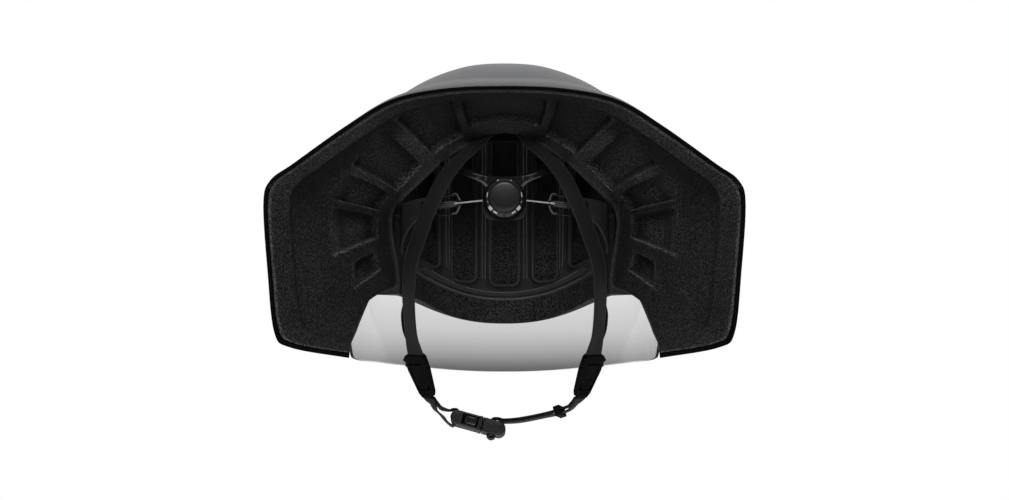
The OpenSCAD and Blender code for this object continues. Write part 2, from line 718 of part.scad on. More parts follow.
// Corners of the plate, and the bends of the arms that run up to the studs
plate_x = 12;
plate_z = 16;
arm_knee = [26, -91.5, dial_z + 22];
arm_elbow = [37, -75, dial_z + 28];
arm_tip_d = arm_d - 0.6;
rib_d = 2.4;
module yoke() {
    color([0.07, 0.07, 0.075]) {
        at_dial(base_front + plate_t) cylinder(r = base_r - 1, h = plate_t, $fn = 32);
        hull() {
            for (x = [-9, 9])
                translate([x, base_front + plate_t, dial_z + 6])
                    rotate([90, 0, 0])
                        cylinder(r = 4, h = plate_t, $fn = 12);
            for (x = [-plate_x, plate_x])
                translate([x, base_front + plate_t, dial_z + plate_z])
                    rotate([90, 0, 0])
                        cylinder(r = 3, h = plate_t, $fn = 12);
        }
        both_sides() {
            bar([plate_x, base_front + plate_t / 2, dial_z + plate_z], arm_knee, arm_d, arm_d);
            bar(arm_knee, arm_elbow, arm_d, arm_tip_d);
            bar(arm_elbow, [stud_x - 2.4, stud_y, stud_z], arm_tip_d, 3.4);
            bar([plate_x + 0.6, base_front + plate_t / 2 - 0.1, dial_z + plate_z - 5], arm_knee - [1, 1.5, 2],
                rib_d, rib_d - 0.4);
            translate([stud_x - 3, stud_y, stud_z])
                rotate([0, 90, 0])
                    cylinder(r = stud_r, h = 5, $fn = 12);
        }
    }
}

// Soft pad ahead of the dial plate
nape_w = 44;
nape_h = 26;
nape_t = 5;
nape_curve = 3.2;
module nape_pad() {
    rings = [[0, 0.9], [0.1, 0.97], [0.3, 1], [0.62, 0.95], [0.86, 0.8], [0.97, 0.55]];
    color([0.08, 0.08, 0.08])
    translate([0, base_front + plate_t + 0.3, dial_z])
        loft([for (r = rings) [for (k = [0:23])
            let(c = cos(15 * k), s = sin(15 * k), q = 0.5)
            [r[1] * nape_w / 2 * sign(c) * pow(abs(c), q),
                nape_t * r[0] + nape_curve * r[0] * pow(r[1] * c, 2),
                -r[1] * nape_h / 2 * sign(s) * pow(abs(s), q)]]], [0, nape_t, 0]);
}

// Fit band: a wide flap at the rivet that narrows towards the lace guide
guide_at = [46, -86.5];
guide_turn = 30;
guide_run = guide_at + [14.5, 8.7];
band_path = [[band_x, -rivet_y + 9], [band_x, -rivet_y - 9], [lerp(guide_run[0], band_x, 0.7), -66],
    guide_run, guide_at];
function band_low(t) = lerp(rivet_z + flap_rise - band_h, dial_z - band_end_h / 2, smooth(t * 1.25 - 0.15));
function band_high(t) = lerp(rivet_z + flap_rise, dial_z + band_end_h / 2, smooth(t));
function band_row(t, out) =
    let(p = t < 0.25 ? lerp(band_path[0], band_path[1], t * 4) : path_at(band_path, t),
        q = path_at(band_path, min(t + 0.02, 1)) - path_at(band_path, max(t - 0.02, 0)),
        n = t < 0.25 ? [1, 0] : unit([-q[1], q[0]]),
        c = p + n * out)
    [for (k = [0:4]) [c[0], c[1], lerp(band_low(t), band_high(t), k / 4)]];
band_steps = [0, 0.12, 0.25, 0.36, 0.48, 0.6, 0.72, 0.84, 1];
module band() {
    color([0.08, 0.08, 0.085])
    difference() {
        skin([for (t = band_steps) band_row(t, band_t / 2)], [for (t = band_steps) band_row(t, -band_t / 2)]);
        translate([band_x - 2 * band_t, -rivet_y, rivet_z])
            rotate([0, 90, 0])
                cylinder(r = rivet_r + run_gap, h = 4 * band_t);
    }
}
module band_right() band();
module band_left() mirror([1, 0, 0]) band();

// Lace guide: a tail behind the band, two windows and a prong that the lace hooks on
guide_sink = 0.8;
guide_gap = 0.4;
guide_t = 1.6;
guide_h = 15;
guide_l = 17;
module at_guide() {
    translate([guide_at[0], guide_at[1], dial_z - guide_sink])
        rotate([0, 0, guide_turn])
            translate([0, -band_t / 2 - guide_gap - guide_t, 0])
                mirror([1, 0, 0])
                    children();
}
module lace_guide() {
    color([0.09, 0.09, 0.095])
    at_guide()
        translate([0, guide_t, 0])
            rotate([90, 0, 0])
                linear_extrude(guide_t)
                    difference() {
                        polygon([[-13, -4.5], [0, -4.5], [1.5, -guide_h / 2], [guide_l - 4, -guide_h / 2],
                            [guide_l, -2.6], [guide_l + 2.4, -1.3], [guide_l + 2.4, 1.3], [guide_l, 2.6],
                            [guide_l - 4, guide_h / 2], [1.5, guide_h / 2], [0, 4.5], [-13, 4.5]]);
                        for (s = [-1, 1])
                            polygon([[3, s * 2.2], [guide_l - 2.4, s * 2.2], [guide_l - 5.2, s * (guide_h / 2 - 1.9)],
                                [3, s * (guide_h / 2 - 1.9)]]);
                    }
}
module lace_guide_right() lace_guide();
module lace_guide_left() mirror([1, 0, 0]) lace_guide();
guide_reach = guide_l + 2.4 + 0.2;
guide_mid = band_t / 2 + guide_gap + guide_t / 2;
lace_end = [guide_at[0] - guide_reach * cos(guide_turn) + guide_mid * sin(guide_turn),
    guide_at[1] - guide_reach * sin(guide_turn) - guide_mid * cos(guide_turn), dial_z - guide_sink];
lace_start = [base_r + 1, base_front - base_t / 2, dial_z];
module lace() {
    color([0.4, 0.4, 0.42])
    tube([for (i = [0:6]) lerp(lace_start, lace_end, i / 6) - [0, 0.6 * sin(30 * i), 0]], lace_d);
}
module lace_right() lace();
module lace_left() mirror([1, 0, 0]) lace();

// Frame of the left strap divider: x across it, y through it from its lever side, z up along it
divider_at = [-58.5, -32, -58.5];
divider_pitch = 28.9;
divider_roll = -19.9;
divider_yaw = -45;
function turn_x(v, a) = [v[0], v[1] * cos(a) - v[2] * sin(a), v[1] * sin(a) + v[2] * cos(a)];
function turn_y(v, a) = [v[0] * cos(a) + v[2] * sin(a), v[1], v[2] * cos(a) - v[0] * sin(a)];
function turn_z(v, a) = [v[0] * cos(a) - v[1] * sin(a), v[0] * sin(a) + v[1] * cos(a), v[2]];
function on_divider(x, y, z) =
    divider_at + turn_y(turn_x(turn_z([x, y, z], divider_yaw), divider_pitch), divider_roll);
divider_across = on_divider(1, 0, 0) - divider_at;
divider_up = on_divider(0, 0, 1) - divider_at;
// Where each piece of webbing leaves the divider: its distance from the end face and from the middle plane
web_seat = 0.6;
slot_seat = 1.35;
strap_layer = 1.1;
chin_layer = 0.85;

// Straps: points down the left side, from the top of the arch to the divider
// Outermost run of the rear strap inside the arch, and of the front strap inside the cavity
rear_run = 12 - arch_w / 2;
front_run = 6.4 - cavity_w / 2;
rear_strap_path = [[-8, -0.5 - arch_y, arch_h - 6.4], [-14, -11.5 - arch_y, arch_h - 11.5], [-24, -84.5, 90.3],
    [-34, -94, 80.8], [-43.5, -100, 68.7], [rear_run + 15, -102.5, 55.2], [rear_run + 8, -103, 41.3],
    [rear_run + 3.5, -96.5, 27], [rear_run + 1, -86, 13.5], [rear_run, -74, -4], [rear_run, -63, -17],
    [rear_run + 1, -52.5, -30], [rear_run + 2.5, -46.5, -38.5],
    on_divider(2.5, -strap_layer, divider_l / 2 + web_seat)];
front_strap_path = [[front_run, front_anchor_y - 1, front_anchor_z - 1], [front_run, 17, -9],
    [front_run + 1.6, 3, -24], [front_run + 4.4, -10, -36], [front_run + 6.6, -20, -45],
    on_divider(-7, divider_t / 2 + slot_seat, 5)];
// Middle of the head, which the webbing lies flat against once it has left its anchor
head_middle = [0, -10, 40];
function webbing_across(p, anchor_face, foot) = [for (i = [0:len(p) - 1])
    let(t = i / (len(p) - 1), n = lerp(anchor_face, unit(p[i] - head_middle), smooth(4 * t)))
    lerp(unit(cross(sweep_dir(p, i), n)), foot, smooth(4 * t - 3))];
function fine(path, steps) = [for (i = [0:steps]) path_at(path, i / steps)];
module webbing(path, steps, anchor_face, foot) {
    p = fine(path, steps);
    color([0.1, 0.1, 0.1]) ribbon(p, webbing_across(p, anchor_face, foot), web_w, web_t);
}
// The rear strap enters the top of its divider, the front one a slot in its inner face
module rear_strap() webbing(rear_strap_path, 24, [0, 0, 1], -divider_across);
module front_strap() webbing(front_strap_path, 14, [-1, 0, 0], -divider_up);
module rear_strap_left() rear_strap();
module rear_strap_right() mirror([1, 0, 0]) rear_strap();
module front_strap_left() front_strap();
module front_strap_right() mirror([1, 0, 0]) front_strap();

// Strap divider: a tapered plate with a cam lever let into its face
lever_w = 11;
lever_l = 19;
lever_t = 2;
lever_pin_r = 1.1;
lever_top = 9;
side_gap = 0.3;
module at_divider() {
    translate(divider_at) rotate([divider_pitch, divider_roll, 0]) rotate([0, 0, divider_yaw]) children();
}
module divider() {
    color([0.07, 0.07, 0.075])
    at_divider()
        difference() {
            translate([0, divider_t / 2, 0])
                rotate([90, 0, 0])
                    linear_extrude(divider_t)
                        polygon([[-divider_w / 2 + 3, divider_l / 2], [divider_w / 2 - 3, divider_l / 2],
                            [divider_w / 2, divider_l / 2 - 3], [divider_w / 2, divider_l / 2 - 12],
                            [divider_w / 2 - 3.6, -divider_l / 2 + 2], [divider_w / 2 - 5.6, -divider_l / 2],
                            [-divider_w / 2 + 5.6, -divider_l / 2], [-divider_w / 2 + 3.6, -divider_l / 2 + 2],
                            [-divider_w / 2, divider_l / 2 - 12], [-divider_w / 2, divider_l / 2 - 3]]);
            // Recess for the lever, with a slot below its tip
            translate([-lever_w / 2 - side_gap, -divider_t, lever_top - lever_l - 0.6])
                cube([lever_w + 2 * side_gap, divider_t / 2 + lever_t + 0.7, lever_l + 2.8]);
            translate([-divider_w, -divider_t / 2 + lever_t / 2 + 0.1, lever_top])
                rotate([0, 90, 0]) cylinder(r = lever_pin_r + run_gap, h = 2 * divider_w);
        }
}
module divider_lever() {
    color([0.05, 0.05, 0.05])
    at_divider()
        translate([0, -divider_t / 2 + lever_t / 2 + 0.1, 0])
            union() {
                translate([-lever_w / 2, -lever_t / 2, lever_top - lever_l])
                    cube([lever_w, lever_t, lever_l]);
                translate([-lever_w / 2 - 4, 0, lever_top])
                    rotate([0, 90, 0]) cylinder(r = lever_pin_r, h = lever_w + 8);
                translate([-lever_w / 2 + 0.5, 0, lever_top])
                    rotate([0, 90, 0]) cylinder(r = lever_t / 2 + 0.35, h = lever_w - 1);
            }
}
module divider_left() divider();
module divider_right() mirror([1, 0, 0]) divider();
module divider_lever_left() divider_lever();
module divider_lever_right() mirror([1, 0, 0]) divider_lever();

// Buckle: lies along its own x, tilted down to the right
buckle_at = [-18.5, -5, -90];
buckle_tilt = 15.5;
module at_buckle() {
    translate(buckle_at) rotate([0, buckle_tilt, 0]) children();
}
function buckle_point(x, z) = buckle_at
    + [x * cos(buckle_tilt) + z * sin(buckle_tilt), 0, -x * sin(buckle_tilt) + z * cos(buckle_tilt)];
mouth_x = 2.5;
socket_end = mouth_x - socket_l;
half_t = buckle_t / 2;
half_w = buckle_w / 2;
window_l = 9;
window_x = mouth_x - 5.5 - window_l;
web_slot = 2.6;
socket_slot = socket_end + 3.4;
web_clear = web_w + 1;
// Side view of a block with one round end, drawn across the buckle's width
module block_side(from, to, round_end) {
    translate([0, half_w, 0])
        rotate([90, 0, 0])
            linear_extrude(buckle_w)
                union() {
                    translate([from, -half_t]) square([to - from, buckle_t]);
                    translate([round_end, 0]) circle(r = half_t);
                }
}
module buckle_socket() {
    color([0.08, 0.08, 0.085])
    at_buckle()
        difference() {
            union() {
                block_side(socket_end + half_t, mouth_x, socket_end + half_t);
                translate([mouth_x - 2.4, -half_w - 0.4, -half_t - 0.4]) cube([2.4, buckle_w + 0.8, buckle_t + 0.8]);
            }
            translate([window_x - 1.5, -half_w + socket_wall, -half_t + socket_wall])
                cube([mouth_x - window_x + 5, buckle_w - 2 * socket_wall, buckle_t - 2 * socket_wall]);
            translate([window_x, -half_w - 2, -half_t + socket_wall])
                cube([window_l, buckle_w + 4, buckle_t - 2 * socket_wall]);
            translate([socket_slot, -web_clear / 2, -half_t - 1]) cube([web_slot, web_clear, buckle_t + 2]);
        }
}
plug_x = mouth_x + plug_gap;
plug_slots = [plug_x + 4.4, plug_x + 9.6];
tongue_w = 4;
prong_y = 6.6;
prong_h = buckle_t - 2 * socket_wall - 2 * plug_gap;
prong_reach = mouth_x - window_x - 0.8;
module buckle_plug() {
    color([0.08, 0.08, 0.085])
    at_buckle() {
        difference() {
            union() {
                block_side(plug_x, plug_x + plug_l - half_t, plug_x + plug_l - half_t);
                translate([(plug_slots[0] + plug_slots[1] + web_slot) / 2, web_clear / 2, -half_t])
                    rotate([90, 0, 0])
                        cylinder(r = 1.6, h = web_clear);
            }
            for (x = plug_slots)
                translate([x, -web_clear / 2, -half_t - 4]) cube([web_slot, web_clear, buckle_t + 8]);
        }
        translate([plug_x - prong_reach + 2, -tongue_w / 2, -prong_h / 2]) cube([prong_reach - 2, tongue_w, prong_h]);
    }
}
// Spring prong with a squeeze wing that stands in the socket's window
module prong() {
    color([0.06, 0.06, 0.06])
    at_buckle()
        translate([plug_x - 0.3, 0, prong_h / 2])
            rotate([180, 0, 0])
                linear_extrude(prong_h)
                    polygon([[0, prong_y - 1], [0, prong_y + 1], [-4.5, prong_y + 1.6], [-6.2, half_w - 0.3],
                        [-9, half_w - 0.1], [-12, half_w - 0.9], [-prong_reach + 0.6, prong_y + 2.2],
                        [-prong_reach + 0.6, prong_y + 0.4]]);
}
module prong_rear() prong();
module prong_front() translate([0, 2 * buckle_at[1], 0]) mirror([0, 1, 0]) prong();

// Chin webbing: the left one loops through the end of the socket, and the right one goes down one slot
// of the plug and up the other. Points between the buckle's ends are given along and across the buckle.
slot_left = socket_slot + web_slot / 2;
slot_in = plug_slots[0] + web_slot / 2;
slot_out = plug_slots[1] + web_slot / 2;
function on_buckle(points) = [for (p = points) buckle_point(p[0], p[1])];
function mirrored(p) = [-p[0], p[1], p[2]];
chin_top = on_divider(0, chin_layer, -divider_l / 2 - web_seat);
chin_foot = on_divider(0, -chin_layer, -divider_l / 2 - web_seat);
chin_left = concat(
    [chin_top, [-48, -15.5, -76.7], [-43, -9, -79.2]],
    on_buckle([[slot_left - 6.5, 4.3], [slot_left - 3, 5.6], [slot_left - 1, 5.9], [slot_left, 4.4], [slot_left, 0],
        [slot_left, -4.4], [slot_left - 1, -5.9], [slot_left - 3, -5.7], [slot_left - 6.5, -4]]),
    [[-44.8, -9.5, -84.3], [-49.6, -16.5, -79.8], chin_foot]);
chin_right = concat(
    [mirrored(chin_top), [48, -15.5, -76.4], [41, -9.5, -79.2], [30, -6.2, -82.2], [12, -5.2, -85.8]],
    on_buckle([[slot_out + 4, 8], [slot_out, 7.7], [slot_in + 2.5, 7.2], [slot_in + 0.7, 6.2], [slot_in, 4.4],
        [slot_in, 0], [slot_in, -5.6], [slot_in + 0.9, -7.1], [(slot_in + slot_out) / 2, -7.7],
        [slot_out - 0.9, -7.1], [slot_out, -5.6], [slot_out, 0], [slot_out, 4.4], [slot_out + 1.1, 5.9],
        [slot_out + 4, 6.3]]),
    [[12, -5.2, -87.8], [30, -6.2, -84.4], [40, -8.6, -82.4], [47.5, -15, -79.4], mirrored(chin_foot)]);
// Width direction: along the divider's foot at both ends, across the buckle in between
module chin(path, turn) {
    steps = 2 * (len(path) - 1);
    last = steps - turn;
    across = [for (i = [0:steps])
        lerp([0, -1, 0], path[0][0] < 0 ? divider_across : mirrored(divider_across),
            smooth(i < turn ? (turn - i) / turn : (i - last) / turn))];
    color([0.1, 0.1, 0.1]) ribbon(fine(path, steps), across, web_w - 1, web_t - 0.2);
}
module chin_web_left() chin(chin_left, 6);
module chin_web_right() chin(chin_right, 8);
keeper_at = [34.5, -7, -82.3];
keeper_l = 6;
keeper_wall = 1.2;
keeper_hole = [web_w + 0.8, 5.4];
module strap_keeper() {
    color([0.12, 0.12, 0.12])
    translate(keeper_at)
        rotate([0, -14, -12])
            difference() {
                cube([keeper_l, keeper_hole[0] + 2 * keeper_wall, keeper_hole[1] + 2 * keeper_wall], center = true);
                cube([2 * keeper_l, keeper_hole[0], keeper_hole[1]], center = true);
            }
}

outer_shell();
eps_liner();
front_pad();
visor_lens();
visor_magnets();
shell_magnets();
temple_rivets();
yoke_anchors();
rear_strap_anchor();
front_strap_anchors();
yoke();
dial_base();
dial_ring();
dial_cap();
dial_spool();
dial_screw();
nape_pad();
band_left();
band_right();
lace_guide_left();
lace_guide_right();
lace_left();
lace_right();
rear_strap_left();
rear_strap_right();
front_strap_left();
front_strap_right();
divider_left();
divider_right();
divider_lever_left();
divider_lever_right();
chin_web_left();
chin_web_right();
strap_keeper();
buckle_socket();
buckle_plug();
prong_front();
prong_rear();
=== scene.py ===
import math

import bmesh
import bpy
import numpy as np
from mathutils import Matrix, Vector


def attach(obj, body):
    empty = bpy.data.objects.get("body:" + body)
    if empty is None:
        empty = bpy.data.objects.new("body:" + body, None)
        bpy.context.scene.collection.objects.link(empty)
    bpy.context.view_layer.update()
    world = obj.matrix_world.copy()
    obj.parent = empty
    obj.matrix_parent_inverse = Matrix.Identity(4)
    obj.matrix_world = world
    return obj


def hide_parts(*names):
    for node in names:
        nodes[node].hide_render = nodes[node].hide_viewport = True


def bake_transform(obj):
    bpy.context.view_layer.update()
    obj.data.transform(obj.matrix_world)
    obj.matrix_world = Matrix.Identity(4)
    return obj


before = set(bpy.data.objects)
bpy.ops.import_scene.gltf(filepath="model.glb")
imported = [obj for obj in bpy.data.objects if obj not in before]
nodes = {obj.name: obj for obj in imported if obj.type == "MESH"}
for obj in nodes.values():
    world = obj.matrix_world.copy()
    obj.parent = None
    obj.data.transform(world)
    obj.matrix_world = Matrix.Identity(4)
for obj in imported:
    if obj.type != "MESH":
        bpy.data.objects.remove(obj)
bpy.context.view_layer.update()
scene = bpy.context.scene
scene.view_settings.view_transform = "Standard"
mm = 0.001  # lengths below are written in millimetres


# Small helpers for curves and meshes

def lerp(a, b, t):
    return a + (b - a) * t


def smooth(t):
    c = np.clip(t, 0, 1)
    return c * c * (3 - 2 * c)


def unit(v):
    v = np.asarray(v, float)
    return v / np.maximum(np.linalg.norm(v, axis=-1, keepdims=True), 1e-9)


def spline(a, b, c, d, f):
    return 0.5 * (2 * b + (c - a) * f + (2 * a - 5 * b + 4 * c - d) * f * f
                  + (3 * b - a - 3 * c + d) * f ** 3)


def splineAt(points, t, mirrored=False):
    p = np.asarray(points, float)
    last = len(p) - 1
    s = np.clip(np.asarray(t, float), 0, 1) * last
    i = np.minimum(np.floor(s).astype(int), last - 1)
    before = p[np.maximum(i - 1, 0)]
    if mirrored:
        turned = p[1] * np.array([-1.0, 1.0])
        before = np.where((i == 0)[..., None], turned, before)
    return spline(before, p[i], p[i + 1], p[np.minimum(i + 2, last)], (s - i)[..., None])


def finePath(points, steps):
    return splineAt(points, np.linspace(0, 1, steps + 1))


def headings(path):
    return unit(np.concatenate([path[1:], path[-1:]]) - np.concatenate([path[:1], path[:-1]]))


def lengthAlong(path):
    return np.concatenate([[0], np.cumsum(np.linalg.norm(np.diff(path, axis=0), axis=1))])


def newPiece(name, verts, faces, sharp=40):
    mesh = bpy.data.meshes.new(name)
    mesh.from_pydata([tuple(v) for v in np.asarray(verts, float) * mm], [], faces)
    mesh.validate()
    piece = bpy.data.objects.new(name, mesh)
    scene.collection.objects.link(piece)
    shadeByAngle(piece, sharp)
    return piece


def shadeByAngle(piece, sharp):
    piece.data.shade_smooth()
    piece.data.set_sharp_from_angle(angle=math.radians(sharp))


def gridFaces(rows, cols, start=0, closed=False):
    faces = []
    for i in range(rows - 1):
        for j in range(cols if closed else cols - 1):
            k = (j + 1) % cols
            a = start + i * cols
            faces.append((a + j, a + k, a + cols + k, a + cols + j))
    return faces


def barrelFaces(rows, cols):
    # Faces of closed rings of points, with both ends capped
    ends = [tuple(range(cols))[::-1], tuple((rows - 1) * cols + k for k in range(cols))]
    return gridFaces(rows, cols, 0, True) + ends


def addFloat(piece, name, values):
    attribute = piece.data.attributes.new(name, "FLOAT", "POINT")
    attribute.data.foreach_set("value", np.asarray(values, np.float32).ravel())


def weld(piece, distance=0.02, sharp=None):
    bm = bmesh.new()
    bm.from_mesh(piece.data)
    bmesh.ops.remove_doubles(bm, verts=bm.verts, dist=distance * mm)
    bmesh.ops.dissolve_degenerate(bm, edges=bm.edges, dist=distance * mm * 0.5)
    bmesh.ops.recalc_face_normals(bm, faces=bm.faces)
    bm.to_mesh(piece.data)
    bm.free()
    if sharp:
        shadeByAngle(piece, sharp)


def applyModifiers(piece, sharp=40):
    graph = bpy.context.evaluated_depsgraph_get()
    mesh = bpy.data.meshes.new_from_object(piece.evaluated_get(graph))
    piece.modifiers.clear()
    piece.data = mesh
    shadeByAngle(piece, sharp)
    return piece


# Helpers for built-up pieces. A part is a pair of points in millimetres and faces.

def turnAbout(axis, degrees):
    c, s = math.cos(math.radians(degrees)), math.sin(math.radians(degrees))
    if axis == "x":
        return np.array([[1, 0, 0], [0, c, -s], [0, s, c]])
    if axis == "y":
        return np.array([[c, 0, s], [0, 1, 0], [-s, 0, c]])
    return np.array([[c, -s, 0], [s, c, 0], [0, 0, 1]])


def placed(part, turn=np.eye(3), at=(0, 0, 0)):
    return np.asarray(part[0], float) @ np.asarray(turn).T + np.asarray(at, float), part[1]


def mirroredPart(part):
    return np.asarray(part[0], float) * [-1, 1, 1], [tuple(f[::-1]) for f in part[1]]


def onSide(part, mirror):
    return mirroredPart(part) if mirror else part


def joined(parts):
    verts, faces, start = [], [], 0
    for points, sides in parts:
        verts.append(points)
        faces += [tuple(start + k for k in f) for f in sides]
        start += len(points)
    return np.concatenate(verts), faces


def dropLoose(piece):
    bm = bmesh.new()
    bm.from_mesh(piece.data)
    bmesh.ops.delete(bm, geom=[v for v in bm.verts if not v.link_faces], context="VERTS")
    bm.to_mesh(piece.data)
    bm.free()


def closedSheet(name, top, bottom, faces, sharp=40):
    # Two layers of points with the same faces, joined round every free edge
    n = len(top)
    both = [tuple(f) for f in faces] + [tuple(n + k for k in reversed(f)) for f in faces]
    edges = {(a, b) for f in faces for a, b in zip(f, tuple(f[1:]) + (f[0],))}
    both += [(b, a, n + a, n + b) for a, b in sorted(edges) if (b, a) not in edges]
    return newPiece(name, np.concatenate([top, bottom]), both, sharp)


def roundEdges(piece, width, angle=40, segments=2):
    edge = piece.modifiers.new("edge", "BEVEL")
    edge.width = width * mm
    edge.segments = segments
    edge.limit_method = "ANGLE"
    edge.angle_limit = math.radians(angle)
    return applyModifiers(piece, 35)


def roundedOutline(points, radius, steps=5):
    out, n = [], len(points)
    for i in range(n):
        before, here, after = (np.array(points[k % n], float) for k in (i - 1, i, i + 1))
        a, b = unit(before - here), unit(after - here)
        half = math.acos(float(np.clip(a @ b, -1, 1))) / 2
        reach = min(radius / max(math.tan(half), 1e-3), 0.46 * np.linalg.norm(before - here),
                    0.46 * np.linalg.norm(after - here))
        for t in np.linspace(0, 1, steps + 1):
            out.append((1 - t) ** 2 * (here + a * reach) + 2 * t * (1 - t) * here
                       + t * t * (here + b * reach))
    return np.array(out)


def superOval(turn, power):
    c, n = np.cos(turn), np.sin(turn)
    return np.stack([np.sign(c) * np.abs(c) ** power, np.sign(n) * np.abs(n) ** power], 1)


def circleOutline(x, y, r, sides=24):
    a = np.linspace(0, 2 * np.pi, sides, endpoint=False)
    return np.stack([x + r * np.cos(a), y + r * np.sin(a)], 1)


def platePart(outlines, thick, edge):
    # Flat plate with rounded edges, z through it; the first outline is its outside and the rest are holes
    curve = bpy.data.curves.new("outline", "CURVE")
    curve.dimensions = "2D"
    curve.fill_mode = "BOTH"
    curve.extrude = thick / 2 - edge
    curve.bevel_depth = edge
    curve.bevel_resolution = 2
    curve.offset = -edge
    for k, outline in enumerate(outlines):
        p = np.asarray(outline, float)
        area = np.sum(p[:, 0] * np.roll(p[:, 1], -1) - np.roll(p[:, 0], -1) * p[:, 1])
        if (area < 0) == (k == 0):
            p = p[::-1]
        line = curve.splines.new("POLY")
        line.points.add(len(p) - 1)
        for point, (x, y) in zip(line.points, p):
            point.co = (x, y, 0, 1)
        line.use_cyclic_u = True
    item = bpy.data.objects.new("outline", curve)
    scene.collection.objects.link(item)
    mesh = bpy.data.meshes.new_from_object(item.evaluated_get(bpy.context.evaluated_depsgraph_get()))
    part = np.array([v.co[:] for v in mesh.vertices]), [tuple(p.vertices) for p in mesh.polygons]
    bpy.data.objects.remove(item)
    bpy.data.curves.remove(curve)
    bpy.data.meshes.remove(mesh)
    return part


def sweptPart(path, across, section):
    # Section points (across, out) carried along a path; section may be one list or one for each step
    path = np.asarray(path, float)
    ahead = headings(path)
    a = unit(across - ahead * np.sum(across * ahead, 1, keepdims=True))
    n = np.cross(ahead, a)
    section = np.asarray(section, float)
    if section.ndim == 2:
        section = np.broadcast_to(section, (len(path),) + section.shape)
    verts = path[:, None] + a[:, None] * section[..., :1] + n[:, None] * section[..., 1:2]
    return verts.reshape(-1, 3), barrelFaces(*verts.shape[:2])


def tubePart(path, radius, sides=12):
    path = np.asarray(path, float)
    radius = np.broadcast_to(np.asarray(radius, float), (len(path),))
    turn = np.linspace(0, 2 * np.pi, sides, endpoint=False)
    section = radius[:, None, None] * np.stack([np.cos(turn), np.sin(turn)], 1)[None]
    ahead = unit(path[-1] - path[0])
    side = unit(np.cross(ahead, [0.13, 0.21, 1.0]))
    return sweptPart(path, np.broadcast_to(side, path.shape), section)


def rodPart(a, b, radius, end=None, sides=12):
    # Straight rod with rounded ends
    a, b = np.asarray(a, float), np.asarray(b, float)
    end = radius if end is None else end
    length = np.linalg.norm(b - a)
    turn = np.array([0, 25, 50, 75, 90]) * np.pi / 180
    along = np.concatenate([-radius * np.cos(turn), [length + v for v in end * np.cos(turn[::-1])]])
    size = np.concatenate([radius * np.sin(turn), end * np.sin(turn[::-1])])
    return tubePart(a + np.outer(along, unit(b - a)), np.maximum(size, 0.01), sides)


def turnedPart(profile, around=72, wave=None):
    # Profile of (radius, height) turned about z; wave gives a factor on the radius at an angle and height
    turn = np.linspace(0, 2 * np.pi, around, endpoint=False)
    verts = []
    for r, h in profile:
        k = np.ones(around) if wave is None else wave(turn, h)
        k = max(r, 0.005) * k
        verts.append(np.stack([k * np.cos(turn), k * np.sin(turn), np.full(around, h)], 1))
    return np.concatenate(verts), barrelFaces(len(profile), around)


def boxPart(low, high):
    x, y, z = zip(low, high)
    verts = [(x[i], y[j], z[k]) for k in (0, 1) for j in (0, 1) for i in (0, 1)]
    faces = [(0, 2, 3, 1), (4, 5, 7, 6), (0, 1, 5, 4), (2, 6, 7, 3), (0, 4, 6, 2), (1, 3, 7, 5)]
    return np.array(verts, float), faces


def settle(piece, material, body, slotName, *cadNodes):
    piece.data.materials.clear()
    piece.data.materials.append(material)
    if body:
        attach(piece, body)
    if cadNodes:
        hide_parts(*cadNodes)
    return piece


def makePart(name, part, material, body, slotName, *cadNodes, sharp=38):
    piece = newPiece(name, *part, sharp)
    weld(piece, 0.01, sharp)
    return settle(piece, material, body, slotName, *cadNodes)


bothSides = {"left": 1, "right": -1}  # the left side is built, and the right side is its mirror image


# Materials: each finish has its settings here and its nodes below

finishes = {
    "foam": {"base": 0.0037, "crustAndHighlight": 0.055, "dark": 0.0022, "bead": 3.1, "bump": 0.00022, "rough": 0.82},
    "shell": {"base": 0.030, "rough": 0.2, "peel": 0.000012},
    "rim": {"base": 0.001, "rough": 0.8, "grain": 0.00001, "specular": 0.05},
    "pad": {"base": 0.0225, "groove": 0.003, "rim": 0.042, "pile": 0.00009, "rough": 0.88},
    "webbing": {"base": 0.0034, "thread": 0.006, "topGain": 4.6, "rough": 0.72, "ridge": 0.00009},
    "lens": {"rough": 0.015, "tint": [(0.0, 0.11), (0.09, 0.19), (0.19, 0.31), (0.3, 0.42), (0.4, 0.50),
                                      (0.56, 0.61), (1.0, 0.75)]},
    "mould": {"base": 0.006, "rough": 0.42, "grain": 0.00002, "specular": 0.3},
    "fitting": {"base": 0.0014, "rough": 0.6, "grain": 0.00002, "specular": 0.06},
    # flap is the fit bands' black plastic painted lighter: painted light where they lie in shadow
    "flap": {"base": 0.015, "rough": 0.6, "grain": 0.00001, "specular": 0.15},
    "gloss": {"base": 0.006, "rough": 0.18, "grain": 0.000006, "specular": 0.5},
    "satin": {"base": 0.005, "rough": 0.3, "grain": 0.000006, "specular": 0.2},
    "ring": {"base": 0.006, "rough": 0.4, "grain": 0.000006, "specular": 0.3},
    # ridge is a light colour for painted highlights on ribs and ridges
    "ridge": {"base": 0.06, "rough": 0.35, "grain": 0.000006, "specular": 0.4},
    # tab is a light colour for painted glints on the dial ring
    "tab": {"base": 0.22, "rough": 0.35, "grain": 0.000006, "specular": 0.5},
    "cap": {"base": 0.0115, "rough": 0.36, "grain": 0.000008},
    "steel": {"base": 0.42, "rough": 0.28},
    "lace": {"base": 0.20, "rough": 0.45},
    "stitch": {"base": 0.16, "rough": 0.6},
}


def grey(v):
    return (v, v, v * 1.01, 1.0)


